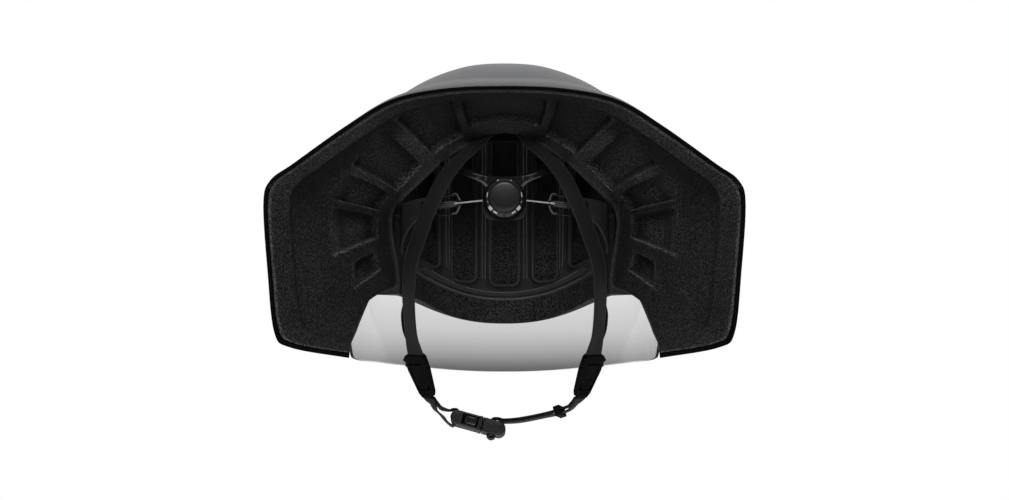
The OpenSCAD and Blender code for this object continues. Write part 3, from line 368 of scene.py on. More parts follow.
class Finish:
    # A node material under construction
    def __init__(self, name):
        self.material = bpy.data.materials.new(name)
        self.material.use_nodes = True
        self.tree = self.material.node_tree
        self.shader = self.tree.nodes["Principled BSDF"]
        self.place = self.add("ShaderNodeTexCoord").outputs["Object"]

    def add(self, kind, **values):
        node = self.tree.nodes.new(kind)
        for key, value in values.items():
            if key in node.inputs:
                self.put(node.inputs[key], value)
            else:
                setattr(node, key, value)
        return node

    def put(self, socket, value):
        if isinstance(value, bpy.types.NodeSocket):
            self.tree.links.new(value, socket)
        else:
            socket.default_value = value

    def set(self, **values):
        names = {"color": "Base Color", "rough": "Roughness", "metal": "Metallic", "normal": "Normal",
                 "coat": "Coat Weight", "coatRough": "Coat Roughness", "sheen": "Sheen Weight",
                 "sheenRough": "Sheen Roughness", "ior": "IOR", "transmission": "Transmission Weight",
                 "specular": "Specular IOR Level"}
        for key, value in values.items():
            self.put(self.shader.inputs[names[key]], value)

    def noise(self, scale, detail=3.0, rough=0.55):
        node = self.add("ShaderNodeTexNoise", Vector=self.place, Scale=scale, Detail=detail, Roughness=rough)
        return node.outputs["Fac"]

    def beads(self, scale, feature):
        node = self.add("ShaderNodeTexVoronoi", feature=feature, Vector=self.place, Scale=scale)
        return node.outputs["Distance"]

    def math(self, operation, a, b=0.0, c=0.0):
        node = self.add("ShaderNodeMath", operation=operation)
        for socket, value in zip(node.inputs, (a, b, c)):
            self.put(socket, value)
        return node.outputs[0]

    def ramp(self, value, *stops):
        node = self.add("ShaderNodeValToRGB")
        self.put(node.inputs["Fac"], value)
        elements = node.color_ramp.elements
        while len(elements) < len(stops):
            elements.new(0.5)
        for element, (at, color) in zip(elements, stops):
            element.position = at
            element.color = grey(color) if isinstance(color, float) else color
        return node.outputs["Color"]

    def mix(self, share, a, b):
        node = self.add("ShaderNodeMix", data_type="RGBA")
        self.put(node.inputs["Factor"], share)
        self.put(node.inputs[6], a)
        self.put(node.inputs[7], b)
        return node.outputs[2]

    def bump(self, height, distance, strength=1.0, before=None):
        node = self.add("ShaderNodeBump", Strength=strength, Distance=distance, Height=height)
        if before is not None:
            self.put(node.inputs["Normal"], before)
        return node.outputs["Normal"]

    def attribute(self, name, kind="Fac"):
        return self.add("ShaderNodeAttribute", attribute_name=name).outputs[kind]

    def split(self, vector):
        node = self.add("ShaderNodeSeparateXYZ")
        self.put(node.inputs[0], vector)
        return node.outputs


def foamFinish():
    s = finishes["foam"]
    f = Finish("blackBeadFoam")
    size = 1 / (s["bead"] * mm)
    seam = f.beads(size, "DISTANCE_TO_EDGE")
    cell = f.beads(size, "F1")
    speck = f.noise(1000, 1.0, 0.6)
    patch = f.noise(45, 3.0)
    crustAndHighlight = f.attribute("crustAndHighlight")
    plain = f.ramp(speck, (0.42, s["dark"] * 0.1), (0.5, s["base"]), (0.58, s["base"] * 4.2))
    light = f.ramp(speck, (0.36, s["base"] * 0.7), (0.5, s["crustAndHighlight"]), (0.64, s["crustAndHighlight"] * 2.2))
    # Lighter foam where crustAndHighlight is set: worn crust and painted highlight
    color = f.mix(crustAndHighlight, plain, light)
    # Painted shade: the shade attribute darkens foam where no light reaches
    color = f.mix(f.attribute("shade"), color, grey(s["dark"] * 0.1))
    color = f.mix(f.ramp(seam, (0.0, 0.55), (0.07, 0.0)), color, grey(s["dark"]))
    color = f.mix(f.ramp(patch, (0.35, 0.25), (0.65, 0.0)), color, grey(s["dark"]))
    grain = f.bump(speck, 0.00012, 0.8)
    f.set(color=color, normal=f.bump(cell, s["bump"], 0.7, grain), rough=s["rough"], specular=0.15)
    return f.material


def shellFinish():
    s = finishes["shell"]
    f = Finish("darkGlossShell")
    flake = f.noise(2600, 1.0)
    cloud = f.noise(12, 2.0)
    paint = f.ramp(flake, (0.3, s["base"] * 0.92), (0.7, s["base"] * 1.08))
    paint = f.mix(f.ramp(cloud, (0.3, 0.2), (0.7, 0.0)), paint, grey(s["base"] * 0.9))
    rough = f.ramp(cloud, (0.3, s["rough"] * 0.85), (0.7, s["rough"] * 1.15))
    f.set(color=paint, rough=rough, coat=0.8, coatRough=0.05,
          normal=f.bump(f.noise(420, 1.0), s["peel"], 0.5))
    return f.material


def padFinish():
    s = finishes["pad"]
    f = Finish("brushedPadFabric")
    pile = f.noise(1900, 2.0, 0.8)
    patch = f.noise(90, 3.0)
    groove = f.attribute("groove")
    nap = f.ramp(pile, (0.28, s["base"] * 0.55), (0.5, s["base"]), (0.75, s["base"] * 1.9))
    nap = f.mix(f.ramp(patch, (0.35, 0.3), (0.65, 0.0)), nap, grey(s["base"] * 0.6))
    # Painted sheen: the piped rims are painted lighter, a painted highlight
    rim = f.ramp(pile, (0.3, s["rim"] * 0.7), (0.7, s["rim"] * 1.5))
    nap = f.mix(f.math("MULTIPLY", f.attribute("rim"), 0.7), nap, rim)
    # It lies in the dark high up in the cavity
    high = f.math("MULTIPLY_ADD", f.split(f.place)[2], 1 / 0.08, -0.5)
    nap = f.mix(f.ramp(high, (0.0, 0.0), (0.6, 0.78), (1.0, 0.97)), nap, grey(s["groove"] * 0.2))
    f.set(color=f.mix(groove, nap, grey(s["groove"])), rough=s["rough"], sheen=0.06, sheenRough=0.4,
          normal=f.bump(pile, s["pile"], 0.8), specular=0.15)
    return f.material


def webbingFinish():
    s = finishes["webbing"]
    f = Finish("flatWovenWebbing")
    across, along, _ = f.split(f.attribute("place", "Vector"))
    # Twill lines that lean to the middle from both edges
    lean = f.math("MULTIPLY", f.math("ABSOLUTE", across), 2.2)
    rib = f.math("SINE", f.math("ADD", f.math("MULTIPLY", along, 5.6), lean))
    cross = f.math("SINE", f.math("MULTIPLY", across, 9.0))
    weave = f.math("ADD", f.math("MULTIPLY", rib, 0.32), f.math("MULTIPLY", cross, 0.18))
    weave = f.math("ADD", weave, 0.5)
    fuzz = f.noise(2200, 2.0, 0.7)
    yarn = f.ramp(f.math("ADD", f.math("MULTIPLY", weave, 0.7), f.math("MULTIPLY", fuzz, 0.3)),
                  (0.25, s["base"] * 0.7), (0.55, s["base"]), (0.85, s["thread"]))
    # Painted light: the webbing is painted lighter high up, where it leaves the foam and the light falls on
    # it
    top = f.ramp(f.math("MULTIPLY_ADD", f.split(f.place)[2], 1 / 0.06, -0.7), (0.0, 0.0), (1.0, 1.0))
    paintedTopLight = s["base"] * s["topGain"]
    yarn = f.mix(top, yarn, f.ramp(fuzz, (0.3, paintedTopLight * 0.7), (0.7, paintedTopLight * 1.3)))
    f.set(color=yarn, rough=s["rough"], sheen=0.05, sheenRough=0.35, specular=0.3,
          normal=f.bump(weave, s["ridge"], 0.6))
    return f.material


def lensFinish():
    s = finishes["lens"]
    f = Finish("gradedGreyLens")
    rise = f.attribute("rise")
    haze = f.noise(30, 2.0)
    tint = f.ramp(f.math("MULTIPLY_ADD", haze, 0.02, rise), *s["tint"])
    f.set(color=tint, rough=s["rough"], transmission=1.0, ior=1.12, coat=0.35, coatRough=0.02)
    return f.material


def mouldFinish(name, key, coat=0.0):
    s = finishes[key]
    f = Finish(name)
    grain = f.noise(1700, 2.0, 0.65)
    cloud = f.noise(70, 2.0)
    color = f.ramp(f.math("ADD", f.math("MULTIPLY", grain, 0.5), f.math("MULTIPLY", cloud, 0.5)),
                   (0.3, s["base"] * 0.75), (0.7, s["base"] * 1.3))
    f.set(color=color, rough=f.ramp(grain, (0.3, s["rough"] * 0.85), (0.7, s["rough"] * 1.2)),
          normal=f.bump(grain, s["grain"], 0.6), coat=coat, coatRough=0.12, specular=s["specular"])
    return f.material


def capFinish():
    s = finishes["cap"]
    f = Finish("satinDialCap")
    spin = f.noise(900, 1.0)
    # Painted light: lighter towards the top of the disc, where the light falls
    up = f.math("MULTIPLY_ADD", f.split(f.place)[2], 1 / 0.026, -1.62)
    fade = f.ramp(up, (0.0, s["base"] * 0.2), (0.5, s["base"] * 0.6), (1.0, s["base"] * 1.4))
    color = f.mix(f.ramp(spin, (0.35, 0.12), (0.65, 0.0)), fade, grey(s["base"]))
    f.set(color=color, rough=s["rough"], metal=0.3, normal=f.bump(spin, s["grain"], 0.5))
    return f.material


def steelFinish(name="platedSteel", shade=1.0):
    s = finishes["steel"]
    f = Finish(name)
    brushed = f.noise(2400, 2.0)
    f.set(color=f.ramp(brushed, (0.3, s["base"] * 0.85 * shade), (0.7, s["base"] * 1.1 * shade)), metal=1.0,
          rough=f.ramp(brushed, (0.3, s["rough"] * 0.8), (0.7, s["rough"] * 1.3)),
          normal=f.bump(brushed, 0.000006, 0.4))
    return f.material


def laceFinish(name, key):
    s = finishes[key]
    f = Finish(name)
    twist = f.noise(1500, 2.0)
    f.set(color=f.ramp(twist, (0.3, s["base"] * 0.7), (0.7, s["base"] * 1.25)), rough=s["rough"],
          normal=f.bump(twist, 0.00004, 0.6))
    return f.material


foamMaterial = foamFinish()
shellMaterial = shellFinish()
padMaterial = padFinish()
webbingMaterial = webbingFinish()
lensMaterial = lensFinish()
mouldMaterial = mouldFinish("grainedBlackMoulding", "mould")
rimMaterial = mouldFinish("blackRimEdge", "rim")
satinMaterial = mouldFinish("satinBlackMoulding", "satin")
fittingMaterial = mouldFinish("dullBlackFitting", "fitting")
flapPaintedLightMaterial = mouldFinish("fitBandPaintedLight", "flap")
ringMaterial = mouldFinish("dialRingMoulding", "ring")
tabGlintMaterial = mouldFinish("dialTabsPaintedGlint", "tab")
ridgeHighlightMaterial = mouldFinish("ridgesPaintedHighlight", "ridge")
glossMaterial = mouldFinish("polishedBlackMoulding", "gloss", 0.6)
capMaterial = capFinish()
steelMaterial = steelFinish()
magnetMaterial = steelFinish("platedMagnet", 0.5)
laceMaterial = laceFinish("coatedLace", "lace")
stitchMaterial = laceFinish("greyStitchThread", "stitch")
print("finishes made")


# Camera and light

view = {"from": (0.0, -1.937654, -0.304567), "tilt": 10.0, "lens": 97.13, "sensor": 36.0}
lamps = {
    "topBox": {"at": (0.0, -0.2, 1.8), "size": 1.8, "watts": 15},
    "leftBox": {"at": (-1.7, -1.0, 0.7), "size": 1.2, "watts": 3},
    "rightBox": {"at": (1.7, -1.0, 0.7), "size": 1.2, "watts": 3},
    "frontBox": {"at": (0.0, 1.8, 1.0), "size": 1.4, "watts": 10},
    "fillBox": {"at": (0.0, -2.2, 0.5), "size": 0.85, "watts": 42},
    "rearBox": {"at": (0.0, -1.7, 1.6), "size": 1.0, "watts": 30},
}
# The room's brightness goes from low to high between two places along Y
room = {"From Min": -0.3, "From Max": 0.6, "To Min": 0.05, "To Max": 0.3}
floorSettings = {"height": -0.62, "reach": 9.0, "base": 0.86, "glow": 0.86, "share": 0.8}


def placeCamera():
    camera = bpy.data.objects.new("camera", bpy.data.cameras.new("camera"))
    scene.collection.objects.link(camera)
    camera.data.lens = view["lens"]
    camera.data.sensor_width = view["sensor"]
    camera.data.clip_start = 0.05
    camera.data.clip_end = 60
    camera.location = view["from"]
    camera.rotation_euler = (math.radians(90 + view["tilt"]), 0, 0)
    scene.camera = camera


def placeLamps():
    for name, lamp in lamps.items():
        data = bpy.data.lights.new(name, "AREA")
        data.shape = "DISK"
        data.size = lamp["size"]
        data.energy = lamp["watts"]
        item = bpy.data.objects.new(name, data)
        scene.collection.objects.link(item)
        item.location = lamp["at"]
        item.rotation_euler = (Vector((0, 0, 0.04)) - Vector(lamp["at"])).to_track_quat("-Z", "Y").to_euler()
        item.visible_camera = False
        item.visible_glossy = name not in ("frontBox", "fillBox")


def paintWorld():
    world = bpy.data.worlds.new("studio")
    scene.world = world
    world.use_nodes = True
    tree = world.node_tree
    tree.nodes.clear()
    out = tree.nodes.new("ShaderNodeOutputWorld")
    backdrop = tree.nodes.new("ShaderNodeBackground")
    around = tree.nodes.new("ShaderNodeBackground")
    mix = tree.nodes.new("ShaderNodeMixShader")
    path = tree.nodes.new("ShaderNodeLightPath")
    seen = tree.nodes.new("ShaderNodeMath")
    seen.operation = "MAXIMUM"
    backdrop.inputs[0].default_value = (1, 1, 1, 1)
    backdrop.inputs[1].default_value = 1.0
    around.inputs[0].default_value = (0.97, 0.98, 1.0, 1)
    # The room is bright ahead of the helmet and dim behind it
    place = tree.nodes.new("ShaderNodeTexCoord")
    split = tree.nodes.new("ShaderNodeSeparateXYZ")
    fall = tree.nodes.new("ShaderNodeMapRange")
    fall.interpolation_type = "SMOOTHSTEP"
    for key, value in room.items():
        fall.inputs[key].default_value = value
    tree.links.new(place.outputs["Generated"], split.inputs[0])
    tree.links.new(split.outputs["Y"], fall.inputs["Value"])
    tree.links.new(fall.outputs["Result"], around.inputs[1])
    tree.links.new(path.outputs["Is Camera Ray"], seen.inputs[0])
    tree.links.new(path.outputs["Is Transmission Ray"], seen.inputs[1])
    tree.links.new(seen.outputs[0], mix.inputs[0])
    tree.links.new(around.outputs[0], mix.inputs[1])
    tree.links.new(backdrop.outputs[0], mix.inputs[2])
    tree.links.new(mix.outputs[0], out.inputs[0])


def layFloor():
    reach, z = floorSettings["reach"] * 1000, floorSettings["height"] * 1000
    corners = [(-reach, -reach, z), (reach, -reach, z), (reach, reach, z), (-reach, reach, z)]
    floor = newPiece("floor", corners, [(0, 1, 2, 3)])
    f = Finish("paleFloor")
    cloud = f.noise(1.5, 2.0)
    f.set(color=f.ramp(cloud, (0.3, floorSettings["base"] * 0.98), (0.7, floorSettings["base"])), rough=0.8)
    # Seen straight on the floor is as pale as the backdrop, and it keeps a shadow
    glow = f.add("ShaderNodeEmission", Color=grey(1.0), Strength=floorSettings["glow"])
    seen = f.add("ShaderNodeMath", operation="MULTIPLY")
    path = f.add("ShaderNodeLightPath")
    f.put(seen.inputs[0], path.outputs["Is Camera Ray"])
    f.put(seen.inputs[1], floorSettings["share"])
    mix = f.add("ShaderNodeMixShader")
    for socket, source in zip(mix.inputs, (seen.outputs[0], f.shader.outputs[0], glow.outputs[0])):
        f.put(socket, source)
    f.put(f.tree.nodes["Material Output"].inputs["Surface"], mix.outputs[0])
    floor.data.materials.append(f.material)


placeCamera()
placeLamps()
paintWorld()
layFloor()
print("camera, lamps and floor placed")


# Outer form of the helmet, as sections across it at each station y

form = {
    "width": 320, "rear": 165, "nose": 150, "crown": 182, "rearTop": 119.4, "flareDrop": 63.5, "temples": 216,
    "flareFrom": 30, "flareCurve": 1.25, "dropEase": 0.24, "dropOver": 40,
    "browRise": 12, "browCurve": 0.7, "browLift": 11, "liftFrom": -20, "liftOver": 120, "liftEnd": 36,
    "liftFade": 45, "fallCurve": 1.8, "shoulder": 9.5, "shoulderBack": -162, "shoulderAhead": 40,
    "swell": 45, "nosePower": 2.1, "shell": 2.2, "bond": 0.3,
}
rearShape = [[0, 1], [0.25, 0.985], [0.473, 0.921], [0.669, 0.762], [0.878, 0.557], [0.972, 0.462],
             [1, 0.33], [0.978, -0.107], [0.947, -0.74], [0.88, -0.9], [0.66, -1]]
domeShape = [[math.sin(math.radians(15 * i)), 0.505 + 0.495 * math.cos(math.radians(15 * i))]
             for i in range(7)]
domeShape += [[0.99, 0.27], [0.955, 0.07], [0.92, 0.012], [0.87, 0]]
shoulderShares = [0.5, 0.4, 0.62, 1.12, 1.06, 0.8, 0.3, 0, 0, 0, 0]


def flareShare(y):
    t = np.clip((-form["flareFrom"] - y) / (form["rear"] - form["flareFrom"]), 0, 1)
    return t ** form["flareCurve"]


def flareEase(y):
    # The flares' lower edges drop late
    return float(flareShare(y) ** (form["dropEase"] * smooth((y + form["rear"]) / form["dropOver"])))


def noseShare(y, inset):
    if y <= form["swell"]:
        return 1.0
    t = (y - form["swell"]) / (form["nose"] - inset - form["swell"])
    return max(0.0, 1 - t ** form["nosePower"]) ** (1 / form["nosePower"])


def browZ(y):
    t = np.clip((y + form["flareFrom"]) / (form["nose"] + form["flareFrom"]), 0, 1)
    return form["browRise"] * t ** form["browCurve"]


def browLift(y):
    # The brow edge rises beside the middle of the face
    share = smooth((y - form["liftFrom"]) / form["liftOver"]) * smooth((form["nose"] - y) / form["liftEnd"])
    return form["browLift"] * float(share)


def outerShape(y, inset):
    f = flareShare(y)
    half = (lerp(form["temples"], form["width"], f) / 2 - inset) * noseShare(y, inset)
    low = browZ(y)
    if y > form["swell"]:
        top = lerp(form["browRise"], form["crown"] - inset, noseShare(y, inset))
    else:
        fall = ((form["swell"] - y) / (form["swell"] + form["rear"])) ** form["fallCurve"]
        top = form["crown"] - inset - (form["crown"] - form["rearTop"]) * fall
    # The shoulders between the crown and the rear rim lie low enough to stay behind the rim
    ahead = smooth((form["shoulderAhead"] - y) / 80)
    hollow = form["shoulder"] * float(smooth((y - form["shoulderBack"]) / 40) * ahead)
    points = []
    for dome, rear, share in zip(domeShape, rearShape, shoulderShares):
        x, z = lerp(dome[0], rear[0], f), lerp(dome[1], rear[1], f)
        height = low + (top - low) * z - hollow * share
        if z < 0:
            height = (form["flareDrop"] - inset) * z * flareEase(y)
        lift = browLift(y) * (1 - min(1.0, max(0.0, height - low) / form["liftFade"]))
        points.append([half * x, height + lift])
    return np.array(points)


def sectionRow(shape, y, shares):
    p = splineAt(shape, np.abs(shares), mirrored=True)
    return np.stack([np.sign(shares) * p[:, 0], np.full(len(shares), float(y)), p[:, 1]], 1)


def outerStations(inset, back, ahead):
    rows = list(np.linspace(-form["rear"], form["swell"], back + 1))
    reach = form["nose"] - inset - form["swell"]
    rows += [form["swell"] + reach * math.sin(math.pi / 2 * i / ahead) ** (2 / form["nosePower"])
             for i in range(1, ahead)]
    return rows


def topAt(x, y):
    p = outerShape(y, 0)[:7]
    return float(np.interp(x, p[:, 0], p[:, 1])) if x < p[6][0] else form["browRise"]


# Intake slots over the nose

slotSettings = {"width": 7, "height": 30, "low": 64, "pitch": 19.53, "flare": 1.6}


def slotEnds(i):
    x = i * slotSettings["pitch"]
    h = slotSettings["height"] - 3 * abs(i)
    stations = np.arange(form["nose"] - 1, form["swell"], -1.0)
    tops = [topAt(abs(x), y) for y in stations]
    ends = []
    for z in (slotSettings["low"] + slotSettings["width"] / 2,
              slotSettings["low"] + h - slotSettings["width"] / 2):
        ends.append(np.array([x, np.interp(z, tops, stations), z]))
    return ends


def slotCutter(ends, back, ahead, radius):
    # A rounded slot that runs along Y through the front of the helmet
    low, high = ends
    turn = (np.arange(32) + 0.5) * np.pi / 16
    verts = []
    for y, r in ((back, radius[0]), (ahead, radius[1])):
        for a in turn:
            end = high if math.sin(a) > 0 else low
            verts.append((end[0] + r * math.cos(a), end[1] + y, end[2] + r * math.sin(a)))
    return np.array(verts), barrelFaces(2, len(turn))


def cutWith(piece, cutters, crossing=True):
    # Crossing parts, such as a rib laid on a plate, are taken as one solid
    for cutter in cutters:
        cut = piece.modifiers.new("cut", "BOOLEAN")
        cut.operation = "DIFFERENCE"
        cut.object = cutter
        cut.solver = "EXACT"
        cut.use_self = crossing
    applyModifiers(piece)
    for cutter in cutters:
        bpy.data.objects.remove(cutter)


shellSettings = {"around": 132, "back": 64, "ahead": 34, "edge": 0.55, "rim": 1.0, "tuck": 3.6,
                 "under": -0.75, "underHigh": 30}


def makeShell():
    s = shellSettings
    shares = np.linspace(-1, 1, s["around"] + 1)
    rows = []
    for y in outerStations(0, s["back"], s["ahead"]):
        row = sectionRow(outerShape(y, 0), y, shares)
        # The lower ends reach in below the foam
        for end, before in ((0, 1), (-1, -2)):
            row[end] += unit(row[end] - row[before]) * s["tuck"] * flareShare(y)
        rows.append(row)
    verts = np.concatenate(rows + [np.array([[0, form["nose"], form["browRise"]]])])
    cols = len(shares)
    faces = gridFaces(len(rows), cols)
    tip = len(verts) - 1
    last = (len(rows) - 1) * cols
    faces += [(last + j, last + j + 1, tip) for j in range(cols - 1)]
    shell = newPiece("paintedShell", verts, faces)
    weld(shell)
    thick = shell.modifiers.new("thickness", "SOLIDIFY")
    thick.thickness = form["shell"] * mm
    thick.offset = -1
    thick.use_even_offset = True
    applyModifiers(shell)
    w = slotSettings["width"] / 2
    ends = [slotEnds(i) for i in range(-2, 3)]
    slots = joined([slotCutter(e, -14, 12, (w, w)) for e in ends])
    flares = joined([slotCutter(e, -form["shell"] / 2, form["shell"] / 2, (w, w + 2 * slotSettings["flare"]))
                     for e in ends])
    cutters = [newPiece("slots", *slots), newPiece("flares", *flares)]
    for cutter in cutters:
        weld(cutter)
    cutWith(shell, cutters, crossing=False)
    roundEdges(shell, s["edge"], 50)
    settle(shell, shellMaterial, "helmet", "shell_gloss", "outer_shell")
    shell.data.materials.append(rimMaterial)
    for face in shell.data.polygons:
        atRear = face.center.y < (s["rim"] - form["rear"]) * mm
        if atRear or face.normal.z < s["under"] and face.center.z < s["underHigh"] * mm:
            face.material_index = 1


makeShell()
print("shell made")


# Foam liner: one form that runs from the outside over the rear edge, down the funnel and into the head cavity

foam = {
    "rimBand": 4.5, "rimSide": 3.9, "rimLow": 3.2, "arch": 60, "archWidth": 157, "archHeight": 110,
    "cavityWidth": 154, "cavityHeight": 134, "cavityFront": 110, "cavityMid": 15, "cavityPower": 2.3,
    "funnelPower": 1.6, "channelDepth": 15,
    "pocketOuter": 9, "pocketLip": 4.5, "wall": 1.9, "lipRise": 1.0, "bandShare": 0.115, "bandStep": 3.0,
    "around": 460, "funnelRows": 104, "cavityRows": 84, "noseRows": 14, "lowerSteps": 8, "lowerPower": 2.3,
    "keel": 10.6, "keelAt": 107, "keelHalf": 40,
}
# Shares of the foam's two looks: crustAndHighlight is lighter foam, partly worn crust and partly painted
# highlight where light falls, and shade is painted shade on foam that no light reaches
foamLook = {
    "pocketShade": 0.8, "shadeReach": 8, "pocketFloor": 0.16, "ridgeOut": 1.2, "ridgeHalf": 0.9,
    "ridgeLeast": 0.1, "rib": 0.32, "band": 0.17, "bandSide": 0.12, "strip": 0.6, "lip": 0.75, "edge": 0.45,
    "cavity": 0.24, "lower": 0.95, "cavityShade": 0.98, "topShade": 0.58, "footShade": 0.9,
}
archShape = [[0, 1], [0.217, 0.964], [0.42, 0.886], [0.611, 0.777], [0.79, 0.655], [0.943, 0.545],
             [1, 0.436], [0.981, 0.273], [0.943, 0.109], [0.962, 0], [1.185, -0.05]]
cavityShape = [[math.sin(math.radians(15 * i)), 0.42 + 0.58 * math.cos(math.radians(15 * i))]
               for i in range(7)]
cavityShape += [[0.995, 0.3], [0.985, 0.13], [0.965, 0], [0.98, -0.2]]
pocketCorners = [
    [[-0.085, 0.175], [0.085, 0.175], [0.115, 0.63], [-0.115, 0.63]],
    [[0.105, 0.15], [0.23, 0.17], [0.272, 0.745], [0.15, 0.745]],
    [[0.268, 0.18], [0.375, 0.27], [0.45, 0.8], [0.325, 0.75]],
    [[0.412, 0.31], [0.562, 0.37], [0.58, 0.73], [0.484, 0.77]],
    [[0.596, 0.37], [0.7, 0.347], [0.676, 0.71], [0.609, 0.727]],
    [[0.734, 0.49], [0.8, 0.46], [0.779, 0.686], [0.722, 0.663]],
]
rimTop, rimSide, rimLow = (outerShape(-form["rear"], foam[key]) for key in ("rimBand", "rimSide", "rimLow"))
rimShape = np.stack([rimSide[:, 0], np.where(rimTop[:, 1] > 0, rimTop[:, 1], rimLow[:, 1])], 1)
archOutline = np.array(archShape) * [foam["archWidth"] / 2, foam["archHeight"]]
# Middle, width and lowest height of each air channel
channels = [(0, 18, 62), (31.5, 15, 62), (59, 13, 56)]


def funnelAt(u, v):
    u, v = np.broadcast_arrays(np.asarray(u, float), np.asarray(v, float))
    a = splineAt(rimShape, np.abs(u), mirrored=True)
    b = splineAt(archOutline, np.abs(u), mirrored=True)
    m = 1 - (1 - np.clip(v, 0, 1)) ** foam["funnelPower"]
    p = a + (b - a) * m[..., None]
    return np.stack([np.where(u < 0, -1, 1) * p[..., 0], lerp(-form["rear"], -foam["arch"], v), p[..., 1]],
                    -1)


def funnelNormal(u, v):
    du = funnelAt(u + 0.01, v) - funnelAt(u - 0.01, v)
    dv = funnelAt(u, v + 0.01) - funnelAt(u, v - 0.01)
    return unit(np.cross(du, dv))


def cavityShare(y, inset=0.0):
    if y <= foam["cavityMid"]:
        return 1.0
    t = (y - foam["cavityMid"]) / (foam["cavityFront"] - inset - foam["cavityMid"])
    return max(0.0, 1 - t ** foam["cavityPower"]) ** (1 / foam["cavityPower"])


def cavityOutline(y, inset=0.0):
    g = float(smooth((y + foam["arch"]) / (foam["arch"] + 5)))
    k = cavityShare(y, inset)
    w = lerp(foam["archWidth"], foam["cavityWidth"], g) / 2 - inset
    h = lerp(foam["archHeight"], foam["cavityHeight"], g) - inset
    q = lerp(np.array(archShape), np.array(cavityShape), g)
    return np.stack([w * q[:, 0] * k, h * q[:, 1] * np.where(q[:, 1] > 0, k, 1)], 1)


def foamKeel(y):
    return browZ(y) - foam["keel"] * float(smooth(1 - abs(y - foam["keelAt"]) / foam["keelHalf"]))


def pocketDepth(u, v, corners):
    # Distance inside the pocket's four sides, in millimetres along the funnel
    u = np.abs(u) if corners[0][0] > 0 else u
    c = np.array(corners, float)
    across = lerp(430, 285, v)  # half way round the edge for u from 0 to 1
    along = 120.0
    inside = np.full(u.shape, 99.0)
    sides = []
    middle = c.mean(0)
    for k in range(4):
        a, b = c[k], c[(k + 1) % 4]
        n = np.array([b[1] - a[1], a[0] - b[0]])
        if np.dot(middle - a, n) < 0:
            n = -n
        f = (u - a[0]) * n[0] + (v - a[1]) * n[1]
        d = f / np.sqrt((n[0] / across) ** 2 + (n[1] / along) ** 2)
        sides.append(d)
        # Sides meet in rounded corners
        r = 3.0
        h = np.clip(0.5 + 0.5 * (inside - d) / r, 0, 1)
        inside = lerp(inside, d, h) - r * h * (1 - h)
    share = np.clip((v - c[:2, 1].mean()) / (c[2:, 1].mean() - c[:2, 1].mean()), 0, 1)
    deep = lerp(foam["pocketOuter"], foam["pocketLip"], share)
    # The lower side and the inner end catch the light
    bright, dim = np.minimum(sides[1], sides[2]), sides[3]
    if corners[0][0] > 0.4:
        # At the sides only the lower side does, and the floor runs out to the surface at its outer end
        bright, dim = sides[1], np.minimum(sides[2], sides[3])
        deep = deep * smooth(share / 0.45)
    lit = smooth(0.5 + (np.minimum(sides[0], dim) - bright) / 6)
    return inside, deep, lit, np.maximum(dim, 0)


def funnelSkin(shares, rows):
    u, v = np.meshgrid(shares, rows)
    p = funnelAt(u, v)
    n = funnelNormal(u, np.clip(v, 0.012, 0.985))
    look = foamLook
    depth, crustAndHighlight, pocket, shade = (np.zeros(u.shape) for _ in range(4))
    for corners in pocketCorners:
        inside, deep, lit, under = pocketDepth(u, v, corners)
        within = smooth((inside + 0.3) / foam["wall"])
        depth += deep * within
        pocket = np.maximum(pocket, within)
        # Painted shade: pockets are painted darkest below their upper side, which shadows them, and their
        # floors are painted lighter away from it
        gloom = np.exp(-under / look["shadeReach"])
        shade = np.maximum(shade, look["pocketShade"] * within * gloom)
        crustAndHighlight = np.maximum(crustAndHighlight, look["pocketFloor"] * within * (1 - gloom))
        ridge = np.exp(-((inside + look["ridgeOut"]) / look["ridgeHalf"]) ** 2)
        depth -= foam["lipRise"] * ridge
        # Painted highlight on the ridges, strongest on the sides that catch the light
        crustAndHighlight = np.maximum(crustAndHighlight, ridge * lerp(look["ridgeLeast"], 1.0, lit))
    band = 1 - smooth((v - foam["bandShare"] + 0.012) / 0.03)
    depth += foam["bandStep"] * (1 - band) * smooth((0.30 - v) / 0.2)
    a = np.abs(u)
    # Painted light with crust: the arch lip, the ribs between pockets, the band along the rim and the outer
    # edge are painted lighter where light falls
    lip = look["lip"] * smooth((v - 0.86) / 0.1)
    rib = lerp(look["rib"], 0.0, smooth((a - 0.3) / 0.35)) * (1 - smooth(pocket)) * smooth((v - 0.22) / 0.15)
    bandCrustAndHighlight = (band * look["band"] * smooth((a - 0.1) / 0.12)
                 * lerp(1.0, look["bandSide"], smooth((a - 0.48) / 0.14)))
    # Painted shadow: inside the step of the band a dim strip is painted, where the step shadows the foam
    strip = smooth((0.42 - v) / 0.24) * smooth((a - 0.12) / 0.1) * (1 - smooth((a - 0.52) / 0.2))
    shade = np.maximum(shade, look["strip"] * (1 - band) * strip * (1 - pocket))
    edge = look["edge"] * (1 - smooth((v - 0.004) / 0.008))
    crustAndHighlight = np.max([crustAndHighlight, bandCrustAndHighlight, lip, edge, rib * (1 - band)], 0)
    return p + n * depth[..., None], crustAndHighlight, shade


def clippedSection(y, outerEnd, count):
    # Inner outline at station y, which ends where it meets the foam's lower face
    dense = np.linspace(0, 1, 400)
    p = splineAt(cavityOutline(y), dense, mirrored=True)
    below = np.nonzero(p[:, 1] <= lowerFace(y, p[:, 0], outerEnd))[0]
    end = dense[below[0]] if len(below) else 1.0
    shares = np.linspace(-1, 1, count) * end
    row = sectionRow(cavityOutline(y), y, shares)
    row[:, 2] = np.maximum(row[:, 2], lowerFace(y, row[:, 0], outerEnd))
    return row


def lowerFace(y, x, outerEnd):
    # The foam's lower face curves up from its keel to the outer edge
    return lerp(foamFloor(y), outerEnd[2], np.minimum(np.abs(x / outerEnd[0]), 1) ** foam["lowerPower"])


